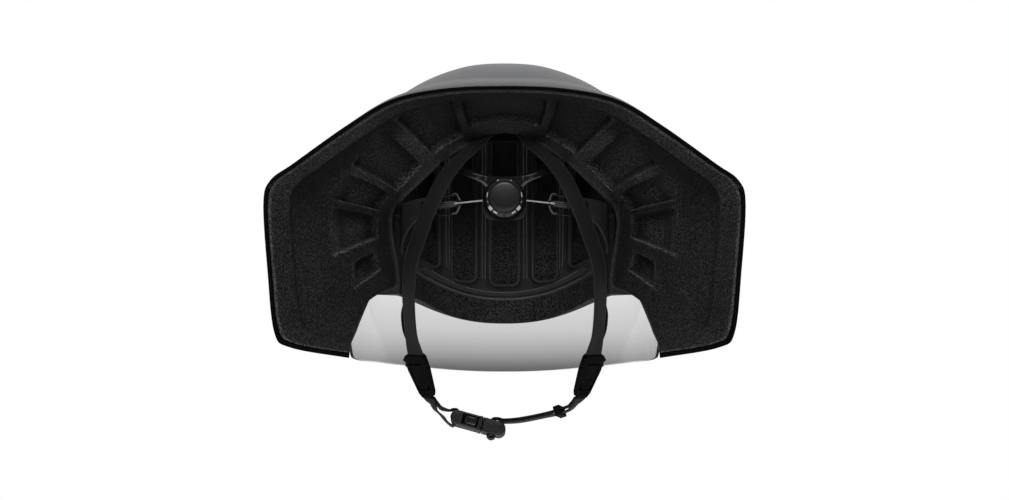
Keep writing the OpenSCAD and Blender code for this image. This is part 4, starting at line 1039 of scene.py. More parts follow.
def foamFloor(y):
    inset = form["shell"] + form["bond"]
    return min(foamKeel(y), browZ(y) - flareShare(y) * flareEase(y) * (form["flareDrop"] - inset))


def liftChannels(row):
    # Air channels over the head go straight up from the cavity to a roof of their own
    y = row[0, 1]
    end = smooth((y + 27) / 3.0) * smooth((87 - y) / 3.0)
    if end <= 0:
        return row
    roof = cavityOutline(y, -foam["channelDepth"])[:7]
    x, z = np.abs(row[:, 0]), row[:, 2]
    up = np.interp(x, roof[:, 0], roof[:, 1])
    lift = np.zeros(len(row))
    for middle, width, lowest in channels:
        inside = width / 2 - np.abs(x - middle)
        share = smooth((inside + 0.4) / 1.2) * smooth((z - lowest + 1) / 2.0)
        lift = np.maximum(lift, share * np.maximum(up - z, 0))
    out = row.copy()
    out[:, 2] += lift * end
    return out


def makeLiner():
    s = foam
    inset = form["shell"] + form["bond"]
    shares = np.linspace(-1, 1, s["around"] + 1)
    count = len(shares)
    funnelShares = np.concatenate([[0, 0.006], np.linspace(0.014, 1, s["funnelRows"])])
    skin, crustAndHighlight, funnelShade = funnelSkin(shares, funnelShares)
    closing = np.sin(np.linspace(0.03, 1, s["cavityRows"] - 40) * np.pi / 2) ** (2 / s["cavityPower"])
    stations = np.concatenate([np.linspace(-s["arch"] + 1.2, s["cavityMid"], 40),
                               s["cavityMid"] + (s["cavityFront"] - s["cavityMid"]) * closing])
    inner, crustsAndHighlights = [skin[i] for i in range(len(skin))], [crustAndHighlight[i] for i in range(len(skin))]
    for y in stations:
        end = sectionRow(outerShape(y, inset), y, np.array([1.0]))[0]
        row = clippedSection(y, end, count)
        inner.append(liftChannels(row))
        crustsAndHighlights.append(np.full(count, foamLook["cavity"]))
    ys = [row[0, 1] for row in inner]
    outer = [sectionRow(outerShape(y, inset if y > -164 else inset + 0.6), y, shares) for y in ys]
    reach = form["nose"] - inset - s["cavityFront"]
    noseYs = [s["cavityFront"] + reach * math.sin(math.pi / 2 * i / s["noseRows"])
              for i in range(1, s["noseRows"])]
    outerRows = outer + [sectionRow(outerShape(y, inset), y, shares) for y in noseYs]
    verts = [np.concatenate(outerRows), np.concatenate(inner)]
    crustAndHighlightAll = [np.zeros(len(outerRows) * count), np.concatenate(crustsAndHighlights)]
    faces = gridFaces(len(outerRows), count)
    start = len(outerRows) * count
    faces += [f[::-1] for f in gridFaces(len(inner), count, start)]
    faces += [(j, start + j, start + j + 1, j + 1) for j in range(count - 1)]
    # Lower faces, from the outer edge to the inner one on each side
    base = start + len(inner) * count
    steps = s["lowerSteps"]
    for column in (0, count - 1):
        rows = []
        for i, y in enumerate(ys + noseYs):
            a = outerRows[i][column]
            x = np.linspace(a[0], inner[i][column][0] if i < len(inner) else 0.0, steps + 1)
            rows.append(np.stack([x, np.full(steps + 1, y), lowerFace(y, x, a)], 1))
        verts.append(np.concatenate(rows))
        # The lower faces get much crustAndHighlight: worn crust and painted light where the brow catches the
        # light
        crustAndHighlightAll.append(np.full(len(rows) * (steps + 1), foamLook["lower"]))
        faces += gridFaces(len(rows), steps + 1, base)
        # The short wall between the lower face and the end of the inner outline
        for i in range(len(inner) - 1):
            a, b = base + i * (steps + 1) + steps, base + (i + 1) * (steps + 1) + steps
            c, d = start + i * count + column, start + (i + 1) * count + column
            faces.append((a, b, d, c))
        faces.append(tuple(base + k for k in range(steps + 1)) + (start + column,))
        base += len(rows) * (steps + 1)
    verts.append(np.array([[0, form["nose"] - inset, form["browRise"] + 2]]))
    crustAndHighlightAll.append([0.0])
    last = (len(outerRows) - 1) * count
    faces += [(last + j, last + j + 1, base) for j in range(count - 1)]
    for side in (0, 1):
        row = start + len(inner) * count + ((side + 1) * len(outerRows) - 1) * (steps + 1)
        faces += [(row + k, row + k + 1, base) for k in range(steps)]
    # Outside first, then inside and lower faces
    liner = newPiece("foamLiner", np.concatenate(verts), faces)
    addFloat(liner, "crustAndHighlight", np.concatenate([np.asarray(c, float).ravel() for c in crustAndHighlightAll]))
    # Painted shade: the foam is painted darker up inside the cavity, where little light reaches
    at = np.concatenate(verts)
    outside = len(outerRows) * count
    x, y, z = np.abs(at[:, 0]), at[:, 1], at[:, 2]
    deep = foamLook["cavityShade"] * smooth((z - 32) / 62) * smooth((y + s["arch"] - 2) / 12)
    # Painted shade is also put at the top of the funnel, and where the foot of the arch turns under
    deep = np.maximum(deep, foamLook["topShade"] * smooth((z - 90) / 28) * (y < 2 - s["arch"]))
    foot = smooth((1.5 - z) / 4) * smooth((x - 66) / 6) * smooth((96 - x) / 8) * foamLook["footShade"]
    deep = np.maximum(deep, foot * smooth((y + 84) / 10) * smooth((-20 - y) / 10))
    deep[:outside] = 0
    funnel = slice(outside, outside + funnelShade.size)
    deep[funnel] = np.maximum(deep[funnel], funnelShade.ravel())
    addFloat(liner, "shade", deep)
    weld(liner, sharp=48)
    settle(liner, foamMaterial, "helmet", "eps_foam", "eps_liner")


makeLiner()
print("liner made")


# Moulded front pad: a brow band and four fingers with a piped rim, from the distance to its outline

pad = {
    "half": 69, "low": 17, "bow": 300, "back": -22, "thick": 6.0, "edge": 1.5, "rim": 2.5, "rimRise": 1.3,
    "groove": 0.55, "crown": 1.5, "sink": 1.3, "columns": 185, "rows": 250, "band": 13.5, "corner": 4.6,
    "slots": [(0, 20, 30.0), (31.5, 17, 32.4)], "outerSlot": 51.5,
    "stitch": {"pitch": 1.7, "length": 0.75, "radius": 0.17, "pair": 1.25, "bandLine": 6.1, "rimLine": 1.25},
}


def frontDepth(share):
    # Station ahead of the middle where the cavity has shrunk to a share of its width
    mid, power = foam["cavityMid"], foam["cavityPower"]
    return mid + (foam["cavityFront"] - mid) * (1 - share ** power) ** (1 / power)


def padColumn(x, rows):
    # Points up the cavity's surface at one x, from the brow edge over the top to the back
    half, high = foam["cavityWidth"] / 2, foam["cavityHeight"]
    dense = splineAt(cavityShape, np.linspace(0, 1, 400), mirrored=True)
    side = int(np.argmax(dense[:, 0]))
    a = abs(x)
    points = []
    for y in np.linspace(pad["back"], foam["cavityMid"], 60):
        outline = splineAt(cavityOutline(y), np.linspace(0, 1, 200), mirrored=True)
        k = int(np.argmax(outline[:, 0]))
        points.append((y, float(np.interp(a, outline[:k, 0], outline[:k, 1]))))
    least = max(a / half / dense[side, 0], 0.02)
    for t in np.linspace(0, 1, 160)[1:]:
        share = 1 - (1 - least) * t
        z = high * share * float(np.interp(a / half / share, dense[:side + 1, 0], dense[:side + 1, 1]))
        points.append((frontDepth(share), z))
    if a > 2:
        for q in dense[side + 1::8]:
            share = min(1.0, a / half / q[0])
            points.append((frontDepth(share), high * share * q[1]))
    else:
        points.append((foam["cavityFront"], 0.0))
    line = np.array(points)[::-1]
    low = pad["low"] + x * x / pad["bow"] - 1.2
    first = int(np.nonzero(line[:, 1] > low)[0][0])
    start = line[first - 1] + (line[first] - line[first - 1]) * (low - line[first - 1, 1]) / (
        line[first, 1] - line[first - 1, 1])
    line = np.concatenate([[start], line[first:]])
    length = lengthAlong(line)
    at = np.linspace(0, length[-1], rows)
    return np.stack([np.full(rows, x), np.interp(at, length, line[:, 0]), np.interp(at, length, line[:, 1])],
                    1)


def padInside(x, y, z):
    # Signed room to the outline as seen from behind: positive inside the pad
    a = np.abs(x)
    low = pad["low"] + x * x / pad["bow"]
    room = np.minimum(np.minimum(z - low, pad["half"] - a), y - pad["back"])
    for middle, width, bottom in pad["slots"]:
        across, under = np.abs(a - middle) - width / 2 + pad["corner"], bottom + pad["corner"] - z
        over = np.hypot(np.maximum(across, 0), np.maximum(under, 0))
        over = over + np.minimum(np.maximum(across, under), 0)
        room = np.minimum(room, over - pad["corner"])
    # The outer slots open to the sides, over the arms of the brow band
    corner = 5.0
    dx, dz = a - pad["outerSlot"] - corner, z - low - pad["band"] - corner
    slotRoom = np.where((dx < 0) & (dz < 0), corner - np.hypot(dx, dz), np.minimum(dx, dz) + corner)
    return np.minimum(room, -slotRoom)


def padProfile(d):
    s = pad
    rim = s["edge"] + s["rimRise"] * np.sqrt(np.clip(1 - ((d - s["rim"] / 2) / (s["rim"] / 2)) ** 2, 0, 1))
    seam = s["rim"] + s["groove"] / 2
    body = s["edge"] + 0.2 + (s["thick"] - s["edge"] - 0.2) * (1 - np.exp(-(d - seam) / s["crown"]))
    h = np.where(d < s["rim"], rim, np.where(d < seam, s["edge"] - 0.1, body))
    return np.where(d < 0, lerp(s["edge"] - 0.2, -s["sink"], smooth(-d / 0.7)), h)


def makePad():
    s = pad
    xs = np.linspace(-s["half"] - 1.6, s["half"] + 1.6, s["columns"])
    grid = np.array([padColumn(x, s["rows"]) for x in xs])
    outward = unit(np.cross(np.gradient(grid, axis=1), np.gradient(grid, axis=0)))
    outward = np.where(np.sum(outward * (grid - [0, 0, 60]), -1, keepdims=True) > 0, -outward, outward)
    flat = grid.reshape(-1, 3)
    room = padInside(flat[:, 0], flat[:, 1], flat[:, 2]).reshape(grid.shape[:2])
    # True distance over the surface: steep places count for more
    slopeX = np.abs(np.gradient(room, axis=0)) / np.linalg.norm(np.gradient(grid, axis=0), axis=-1)
    slopeY = np.abs(np.gradient(room, axis=1)) / np.linalg.norm(np.gradient(grid, axis=1), axis=-1)
    distance = room / np.clip(np.hypot(slopeX, slopeY), 0.35, 1.2)
    high = padProfile(distance)
    top = (grid + outward * high[..., None]).reshape(-1, 3)
    bottom = (grid - outward * (s["sink"] + 0.5)).reshape(-1, 3)
    rows, cols = grid.shape[:2]
    keep = distance.ravel() > -1.6
    faces = [f for f in gridFaces(rows, cols) if all(keep[k] for k in f)]
    piece = closedSheet("frontPad", top, bottom, faces, 60)
    seam = s["rim"] + s["groove"] / 2
    groove = np.exp(-((distance.ravel() - seam) / 0.42) ** 2)
    groove = np.maximum(groove, smooth(-distance.ravel() / 0.4))
    addFloat(piece, "groove", np.concatenate([groove, groove]))
    rim = smooth(distance.ravel() / 0.5) * smooth((s["rim"] - distance.ravel()) / 0.5)
    addFloat(piece, "rim", np.concatenate([rim, rim]))
    dropLoose(piece)
    weld(piece, 0.005, 60)
    settle(piece, padMaterial, "helmet", "pad_fabric", "front_pad")
    return grid, outward, high, xs


def padSpot(surface, x, eta):
    # Point, outward direction and height at an x and a length up from the brow edge
    grid, outward, high, xs = surface
    i = np.interp(x, xs, np.arange(len(xs)))
    i0 = int(min(math.floor(i), len(xs) - 2))
    f = i - i0
    out = []
    for k in (i0, i0 + 1):
        step = np.linalg.norm(grid[k, 1] - grid[k, 0])
        j = min(eta / step, grid.shape[1] - 2)
        j0 = int(j)
        g = j - j0
        out.append([lerp(a[k, j0], a[k, j0 + 1], g) for a in (grid, outward, high)])
    return [lerp(a, b, f) for a, b in zip(*out)]


def stitchLine(surface, line):
    s = pad["stitch"]
    points = [padSpot(surface, x, eta) for x, eta in line]
    places = np.array([p + n * (h + 0.02) for p, n, h in points])
    length = lengthAlong(places)
    parts = []
    for at in np.arange(s["pitch"], length[-1] - s["pitch"], s["pitch"]):
        ends = [np.array([np.interp(t, length, places[:, k]) for k in range(3)])
                for t in (at - s["length"] / 2, at + s["length"] / 2)]
        parts.append(rodPart(ends[0], ends[1], s["radius"], sides=6))
    return parts


def makeStitches(surface):
    s = pad["stitch"]
    parts = []
    for side in (-1, 1):
        for middle in ((pad["slots"][0][1] / 2 + pad["slots"][1][0] - pad["slots"][1][1] / 2) / 2,
                       (pad["slots"][1][0] + pad["slots"][1][1] / 2 + pad["outerSlot"]) / 2):
            for offset in (-s["pair"], s["pair"]):
                x = side * (middle + offset)
                parts += stitchLine(surface, [(x, eta) for eta in np.arange(16, 150, 1.5)])
    for eta, reach in ((s["bandLine"] + 1.2, 60), (s["rimLine"] + 1.2, 60)):
        parts += stitchLine(surface, [(x, eta) for x in np.arange(-reach, reach + 1, 1.5)])
    makePart("padStitches", joined(parts), stitchMaterial, "helmet", "pad_fabric", sharp=60)


padSurface = makePad()
makeStitches(padSurface)
print("front pad made")


# Webbing: the paths run down the left side, and the right side mirrors them

strap = {
    "width": 14, "thick": 1.3, "chinWidth": 13, "chinThick": 1.1, "layer": 1.1, "chinLayer": 0.85,
    "seat": 0.6, "slotSeat": 1.35, "head": (0, -28, 24), "steps": 120, "fine": 10, "narrow": 0.32,
    "slackStart": (0.046, -0.012, -0.078), "slackEnd": (0.014, -0.005, -0.087),
}
divider = {
    "at": (-58.5, -32, -58.5), "pitch": 28.9, "roll": -19.9, "yaw": -45, "length": 34, "width": 18,
    "thick": 5, "edge": 0.9, "leverWidth": 11, "leverLength": 19, "leverThick": 2, "pin": 1.1,
    "leverTop": 9, "gap": 0.3,
}
buckle = {
    "at": (-18.5, -5, -90), "tilt": 15.5, "mouth": 2.5, "socket": 23, "plug": 17, "width": 24, "thick": 10,
    "wall": 1.2, "gap": 0.3, "window": 11.9, "slot": 1.6, "clear": 14.2, "edge": 1.1,
}
dividerTurn = turnAbout("y", divider["roll"]) @ turnAbout("x", divider["pitch"])
dividerTurn = dividerTurn @ turnAbout("z", divider["yaw"])
buckleTurn = turnAbout("y", buckle["tilt"])


def onDivider(x, y, z):
    return np.array(divider["at"]) + dividerTurn @ np.array([x, y, z], float)


def onBuckle(x, z):
    return np.array(buckle["at"]) + buckleTurn @ np.array([x, 0, z], float)


def webSection(width, thick):
    # Flat weave with slightly fuller edges
    half, r = width / 2, thick / 2
    flat = np.linspace(-half + r, half - r, 9)
    full = thick / 2 * (1 - 0.10 * np.cos(np.pi * flat / (2 * half)))
    turn = np.linspace(-90, 90, 5)[1:-1] * np.pi / 180
    right = np.stack([half - r + r * np.cos(turn), r * np.sin(turn)], 1)
    upper = np.stack([flat[::-1], full], 1)
    left = np.stack([-half + r - r * np.cos(turn), -r * np.sin(turn)], 1)
    lower = np.stack([flat, -full], 1)
    return np.concatenate([lower, right, upper, left])


def webPiece(name, path, across, width, thick, mirror=False, sharp=50, narrow=1.0):
    # narrow is a factor on the width at each step
    path, across = np.asarray(path, float), np.asarray(across, float)
    section = webSection(width, thick)
    factor = np.stack([np.broadcast_to(narrow, (len(path),)), np.ones(len(path))], 1)
    part = onSide(sweptPart(path, across, section[None] * factor[:, None]), mirror)
    piece = newPiece(name, *part, sharp)
    place = np.zeros((len(path), len(section), 3))
    place[..., 0] = section[:, 0]
    place[..., 1] = lengthAlong(path)[:, None]
    attribute = piece.data.attributes.new("place", "FLOAT_VECTOR", "POINT")
    attribute.data.foreach_set("vector", place.astype(np.float32).ravel())
    return piece


def strapAcross(path, anchorFace, foot):
    t = np.linspace(0, 1, len(path))[:, None]
    away = lerp(np.array(anchorFace, float), unit(path - np.array(strap["head"])), smooth(4 * t))
    ahead = headings(path)
    return lerp(unit(np.cross(ahead, away)), np.array(foot, float), smooth(6 * t - 5))


rearRun, frontRun = 12 - foam["archWidth"] / 2, 6.4 - foam["cavityWidth"] / 2
dividerAcross, dividerUp = dividerTurn[:, 0], dividerTurn[:, 2]
rearPath = [(-9, -50, 116), (-15.2, -60.5, 107.3), (-20.5, -71.5, 98.8), (-26.8, -84.5, 90.3),
            (-34.2, -94, 80.8), (-41.8, -100, 68.7), (rearRun + 18.4, -102.5, 55.2),
            (rearRun + 12.4, -103, 41.3), (rearRun + 7, -97.5, 27), (rearRun + 2, -86, 13.5),
            (rearRun, -74, -4), (rearRun, -63, -17), (rearRun + 1, -52.5, -30), (rearRun + 2.5, -46.5, -38.5),
            onDivider(2.5, -strap["layer"], divider["length"] / 2 + strap["seat"])]
frontPath = [(frontRun, 31, 8), (frontRun, 17, -9), (frontRun + 1.6, 3, -24), (frontRun + 5.6, -10, -36),
             (frontRun + 7.6, -20, -45), onDivider(-7, divider["thick"] / 2 + strap["slotSeat"], 5)]


def makeStraps():
    s = strap
    runs = [("rear", rearPath, (0, 0, 1), -dividerAcross), ("front", frontPath, (-1, 0, 0), -dividerUp)]
    for run, points, face, foot in runs:
        path = finePath(points, s["steps"])
        across = strapAcross(path, face, foot)
        for side, sign in bothSides.items():
            web = webPiece(f"{run}Strap.{side}", path, across, s["width"], s["thick"], sign < 0)
            settle(web, webbingMaterial, "helmet", "webbing", f"{run}_strap_{side}")


def chinPaths():
    s = strap
    slotLeft = buckle["mouth"] - buckle["socket"] + 3.4 + buckle["slot"] / 2
    plugX = buckle["mouth"] + buckle["gap"]
    slotIn, slotOut = plugX + 4.4 + buckle["slot"] / 2, plugX + 9.6 + buckle["slot"] / 2
    top = onDivider(0, s["chinLayer"], -divider["length"] / 2 - s["seat"])
    foot = onDivider(0, -s["chinLayer"], -divider["length"] / 2 - s["seat"])
    flip = np.array([-1.0, 1.0, 1.0])
    left = [top, (-48, -15.5, -76.7), (-43, -9, -79.2)]
    left += [onBuckle(slotLeft + x, z)
             for x, z in ((-6.5, 4.3), (-3, 5.6), (-1, 5.9), (0, 4.4), (0, 0), (0, -4.4),
                          (-1, -5.9), (-3, -5.7), (-6.5, -4))]
    left += [(-44.8, -9.5, -84.3), (-49.6, -16.5, -79.8), foot]
    right = [top * flip, (48, -15.5, -76.4), (41, -9.5, -79.2), (30, -6.2, -82.2), (12, -5.2, -85.8)]
    right += [onBuckle(x, z) for x, z in (
        (slotOut + 4, 8), (slotOut, 7.7), (slotIn + 2.5, 7.2), (slotIn + 0.7, 6.2), (slotIn, 4.4),
        (slotIn, 0), (slotIn, -5.6), (slotIn + 0.9, -7.1), ((slotIn + slotOut) / 2, -7.7),
        (slotOut - 0.9, -7.1), (slotOut, -5.6), (slotOut, 0), (slotOut, 4.4), (slotOut + 1.1, 5.9),
        (slotOut + 4, 6.3))]
    right += [(12, -5.2, -87.8), (30, -6.2, -84.4), (40, -8.6, -82.4), (47.5, -15, -79.4), foot * flip]
    return left, right


def makeChinWebs():
    s = strap
    left, right = chinPaths()
    turn = 2  # the web turns from the divider's way to the buckle's over its first and last point
    for side, points, end in (("left", left, dividerAcross), ("right", right, dividerAcross * [-1, 1, 1])):
        path = finePath(points, s["fine"] * (len(points) - 1))
        last = 2 * (len(points) - 1) - turn
        at = np.linspace(0, 2 * (len(points) - 1), len(path))
        share = smooth(np.where(at < turn, (turn - at) / turn, (at - last) / turn))[:, None]
        across = lerp(np.array([0.0, -1.0, 0.0]), end, share)
        narrow = 1 - s["narrow"] * smooth(share[:, 0] * 1.5)
        web = webPiece(f"chinWeb.{side}", path, across, s["chinWidth"], s["chinThick"], narrow=narrow)
        if side == "left":
            settle(web, webbingMaterial, "helmet", "webbing", "chin_web_left")
        else:
            settle(web, webbingMaterial, None, "webbing", "chin_web_right")
            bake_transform(web)


makeStraps()
makeChinWebs()
print("webbing made")


# Strap dividers with their cam levers, and the keeper

def dividerOutline():
    w, l = divider["width"] / 2, divider["length"] / 2
    half = [(w - 1.6, l), (w, l - 2.2), (w, l - 12), (w - 2.6, -l + 4.0), (w - 4.6, -l)]
    return roundedOutline(half + [(-x, z) for x, z in half[::-1]], 2.2)


def makeDividers():
    s = divider
    stand = turnAbout("x", 90)
    floorY = -s["thick"] / 2 + s["leverThick"] / 2 + 0.1
    top, tip = s["leverTop"], s["leverTop"] - s["leverLength"]
    hw = s["leverWidth"] / 2
    room = hw + s["gap"]
    for side, sign in bothSides.items():
        parts = [placed(platePart([dividerOutline()], s["thick"], s["edge"]), stand)]
        # Raised rails along both long edges of the inner face, and a bead across the foot
        l, w = s["length"] / 2, s["width"] / 2
        for k in (-1, 1):
            path = finePath([(k * (w - 1.6), s["thick"] / 2, l - 3.5),
                             (k * (w - 1.6), s["thick"] / 2 + 0.1, l - 11),
                             (k * (w - 4.6), s["thick"] / 2 + 0.1, -l + 4)], 16)
            parts.append(tubePart(path, 0.55, 8))
        for z in (-l + 2.2, -l + 3.8, -l + 5.4):
            parts.append(rodPart((-w + 6, -s["thick"] / 2, z), (w - 6, -s["thick"] / 2, z), 0.42, sides=8))
        # Knob at the upper outer corner
        parts.append(rodPart((-w + 0.6, 0, l - 4.2), (-w - 1.0, 0, l - 4.2), 1.5, sides=14))
        part = onSide(placed(joined(parts), dividerTurn, s["at"]), sign < 0)
        plate = newPiece(f"strapDivider.{side}", *part, 38)
        weld(plate, 0.005)
        recess = boxPart((-room, -s["thick"], tip - 0.6),
                         (room, floorY + s["leverThick"] / 2 + 0.7, top + 1.9))
        cutWith(plate, [newPiece("recess", *onSide(placed(recess, dividerTurn, s["at"]), sign < 0))])
        weld(plate, 0.005, 38)
        settle(plate, fittingMaterial, "helmet", "black_plastic", f"divider_{side}")
        # Cam lever with finger ridges and a pin through its top
        outline = roundedOutline([(-hw, top + 0.2), (hw, top + 0.2), (hw, top - 14), (hw - 2.2, tip),
                                  (-hw + 2.2, tip), (-hw, top - 14)], 1.4)
        parts = [placed(platePart([outline], s["leverThick"], 0.45), stand, (0, floorY, 0))]
        parts.append(rodPart((-hw - 3.5, floorY, top), (hw + 3.5, floorY, top), s["pin"], sides=16))
        parts.append(rodPart((-hw + 1.4, floorY, top), (hw - 1.4, floorY, top), s["leverThick"] / 2 + 0.33,
                             sides=20))
        for k in range(5):
            z = tip + 2.0 + 1.5 * k
            parts.append(rodPart((-hw + 2.4, floorY - s["leverThick"] / 2 + 0.05, z),
                                 (hw - 2.4, floorY - s["leverThick"] / 2 + 0.05, z), 0.32, sides=8))
        part = onSide(placed(joined(parts), dividerTurn, s["at"]), sign < 0)
        makePart(f"camLever.{side}", part, fittingMaterial, f"lever_{side}", "black_plastic",
                 f"divider_lever_{side}")


keeper = {
    "at": (39.3, -8.5, -81.2), "length": 4.6, "wall": 1.0, "room": (14.8, 5.4), "pitch": -17, "yaw": -16,
    "start": (0.0975, -0.012, -0.078), "end": (-0.1035, -0.005, -0.087),
}


def makeKeeper():
    w, h = keeper["room"][0] / 2, keeper["room"][1] / 2
    t = keeper["wall"]
    outer = roundedOutline([(-w - t, -h - t), (w + t, -h - t), (w + t, h + t), (-w - t, h + t)], 2.0)
    inner = roundedOutline([(-w, -h), (w, -h), (w, h), (-w, h)], 0.9)
    # The ring is drawn across the strap, so its outline turns to stand along it
    ring = placed(platePart([outer, inner], keeper["length"], 0.35),
                  np.array([[0, 0, 1], [1, 0, 0], [0, 1, 0.0]]))
    ridges = [rodPart((x, -w + 1, h + t), (x, w - 1, h + t), 0.3, sides=8) for x in (-1.5, 0, 1.5)]
    turn = turnAbout("y", keeper["pitch"])
    part = placed(joined([ring] + ridges), turnAbout("z", keeper["yaw"]) @ turn, keeper["at"])
    piece = makePart("strapKeeper", part, fittingMaterial, None, "black_plastic", "strap_keeper")
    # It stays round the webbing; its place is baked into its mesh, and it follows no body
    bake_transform(piece)


makeDividers()
makeKeeper()
print("dividers, levers and keeper made")


# Side-release buckle, drawn along its own x and then tilted

def blockOutline(start, end, roundEnd):
    # Side view of a block with one round end
    r = buckle["thick"] / 2
    turn = np.linspace(-90, 90, 13) * np.pi / 180
    if roundEnd < 0:
        arc = [(start + r - r * math.cos(a), r * math.sin(a)) for a in turn]
        return np.array([(end - 0.4, -r), (end, -r + 0.4), (end, r - 0.4), (end - 0.4, r)] + arc[::-1])
    arc = [(end - r + r * math.cos(a), r * math.sin(a)) for a in turn]
    return np.array([(start + 0.4, r), (start, r - 0.4), (start, -r + 0.4), (start + 0.4, -r)] + arc)


def buckleBody(name, parts, cutters, material, body, node):
    piece = newPiece(name, *joined(parts), 38)
    weld(piece, 0.005)
    cutWith(piece, [newPiece("hollow", *c) for c in cutters])
    weld(piece, 0.005)
    piece.data.transform(Matrix([list(row) + [0] for row in buckleTurn] + [[0, 0, 0, 1]]))
    piece.data.transform(Matrix.Translation(Vector(buckle["at"]) * mm))
    shadeByAngle(piece, 35)
    return settle(piece, material, body, "black_plastic", node)


def makeBuckle():
    s = buckle
    lay = turnAbout("x", 90)
    halfW, halfT = s["width"] / 2, s["thick"] / 2
    start, mouth = s["mouth"] - s["socket"], s["mouth"]
    window = mouth - 2.6 - s["window"]
    w, clear = s["wall"], s["clear"] / 2
    socketParts = [placed(platePart([blockOutline(start, mouth, -1)], s["width"], s["edge"]), lay)]
    lip = halfT + 0.12
    ring = roundedOutline([(mouth - 2.4, -lip), (mouth, -lip), (mouth, lip), (mouth - 2.4, lip)], 0.5)
    socketParts.append(placed(platePart([ring], s["width"] + 0.24, 0.4), lay))
    # Edge of the end cap, which stands a little above the window's frame
    for z in (-halfT, halfT):
        socketParts.append(rodPart((window - 1.2, -halfW + 1.4, z), (window - 1.2, halfW - 1.4, z), 0.28,
                                   sides=8))
    socketCuts = [boxPart((window - 1.0, -halfW + w, -halfT + w), (mouth + 3.5, halfW - w, halfT - w)),
                  boxPart((window, -halfW - 2, -halfT + w), (window + s["window"], halfW + 2, halfT - w)),
                  boxPart((start + 3.4, -clear, -halfT - 1), (start + 3.4 + s["slot"], clear, halfT + 1))]
    buckleBody("buckleSocket", socketParts, socketCuts, mouldMaterial, "helmet", "buckle_socket")

    plugX = mouth + s["gap"]
    slots = (plugX + 4.4, plugX + 9.6)
    reach = mouth - window - 0.8
    prongH = s["thick"] - 2 * w - 2 * s["gap"]
    plugParts = [placed(platePart([blockOutline(plugX, plugX + s["plug"], 1)], s["width"], s["edge"]), lay)]
    middle = (slots[0] + slots[1] + s["slot"]) / 2
    plugParts.append(rodPart((middle, -clear, -halfT), (middle, clear, -halfT), 1.6, sides=16))
    # Seam between the block and its collar
    for z in (-halfT, halfT):
        plugParts.append(rodPart((plugX + 2.6, -halfW + 1.4, z), (plugX + 2.6, halfW - 1.4, z), 0.25,
                                 sides=8))
    tongue = roundedOutline([(window - 0.5, -2), (plugX + 1, -2), (plugX + 1, 2), (window - 0.5, 2)], 1.2)
    plugParts.append(platePart([tongue], prongH, 0.5))
    plugCuts = [boxPart((x, -clear, -halfT - 4), (x + s["slot"], clear, halfT + 4)) for x in slots]
    buckleBody("bucklePlug", plugParts, plugCuts, mouldMaterial, "plug", "buckle_plug")

    py = 6.6  # where the prongs stand either side of the tongue
    outline = [(0, py - 1), (0, py + 1), (-2.8, py + 1.8), (-4.2, halfW - 0.3), (-9, halfW - 0.1),
               (-12, halfW - 0.9), (-reach + 0.6, py + 2.2), (-reach + 0.6, py + 0.4)]
    wing = platePart([roundedOutline(outline, 1.3)], prongH, 1.6)
    for name, sign, body in (("rear", -1, "prong_rear_arm"), ("front", 1, "prong_front_arm")):
        parts = [placed(wing, np.diag([1.0, sign, 1.0]), (plugX - 0.3, 0, 0))]
        if sign < 0:
            parts = [(parts[0][0], [f[::-1] for f in parts[0][1]])]
        for x in (-7.2, -8.6, -10.0):
            parts.append(rodPart((plugX - 0.3 + x, sign * (halfW - 0.35), -prongH / 2 + 0.8),
                                 (plugX - 0.3 + x, sign * (halfW - 0.35), prongH / 2 - 0.8), 0.3, sides=8))
        part = placed(joined(parts), buckleTurn, s["at"])
        makePart(f"{name}Prong", part, glossMaterial, body, "black_plastic", f"prong_{name}")


makeBuckle()
print("buckle made")


# Cradle: fit bands at the temples, guides and laces

cradle = {
    "rivetY": 45, "rivetZ": 54.3, "rivet": 2.2, "bandThick": 1.6, "bandHigh": 32, "endHigh": 12,
    "flapRise": 4.5, "stand": 4.02, "guideAt": (46, -86.5), "guideTurn": 30, "sink": 0.8, "guideGap": 0.4,
    "guideThick": 1.6, "guideHigh": 15, "guideLong": 17, "dialZ": 53.4,
}


def cavityX(y, z):
    p = cavityOutline(y)[5:-1][::-1]
    return float(np.interp(z, p[:, 1], p[:, 0]))


bandX = cavityX(-cradle["rivetY"], cradle["rivetZ"]) - cradle["stand"]
guideX, guideY = cradle["guideAt"]
bandPath = np.array([(bandX, -cradle["rivetY"] + 9), (bandX, -cradle["rivetY"] - 9),
                     (lerp(guideX + 14.5, bandX, 0.7), -66), (guideX + 14.5, guideY + 8.7), (guideX, guideY)])


def bandRow(t, out, shares):
    s = cradle
    p = lerp(bandPath[0], bandPath[1], t * 4) if t < 0.25 else splineAt(bandPath, t)
    q = splineAt(bandPath, min(t + 0.02, 1)) - splineAt(bandPath, max(t - 0.02, 0))
    n = np.array([1.0, 0.0]) if t < 0.25 else unit([-q[1], q[0]])
    low = lerp(s["rivetZ"] + s["flapRise"] - s["bandHigh"], s["dialZ"] - s["endHigh"] / 2,
               smooth(t * 1.25 - 0.15))
    high = lerp(s["rivetZ"] + s["flapRise"], s["dialZ"] + s["endHigh"] / 2, smooth(t))
    # The front end of the flap is rounded
    close = math.sqrt(max(0.0, 1 - (1 - min(t / 0.09, 1)) ** 2)) * 0.5 + 0.5
    middle = (low + high) / 2
    z = middle + (lerp(low, high, shares) - middle) * close
    c = p + n * out
    return np.stack([np.full(len(shares), c[0]), np.full(len(shares), c[1]), z], 1)


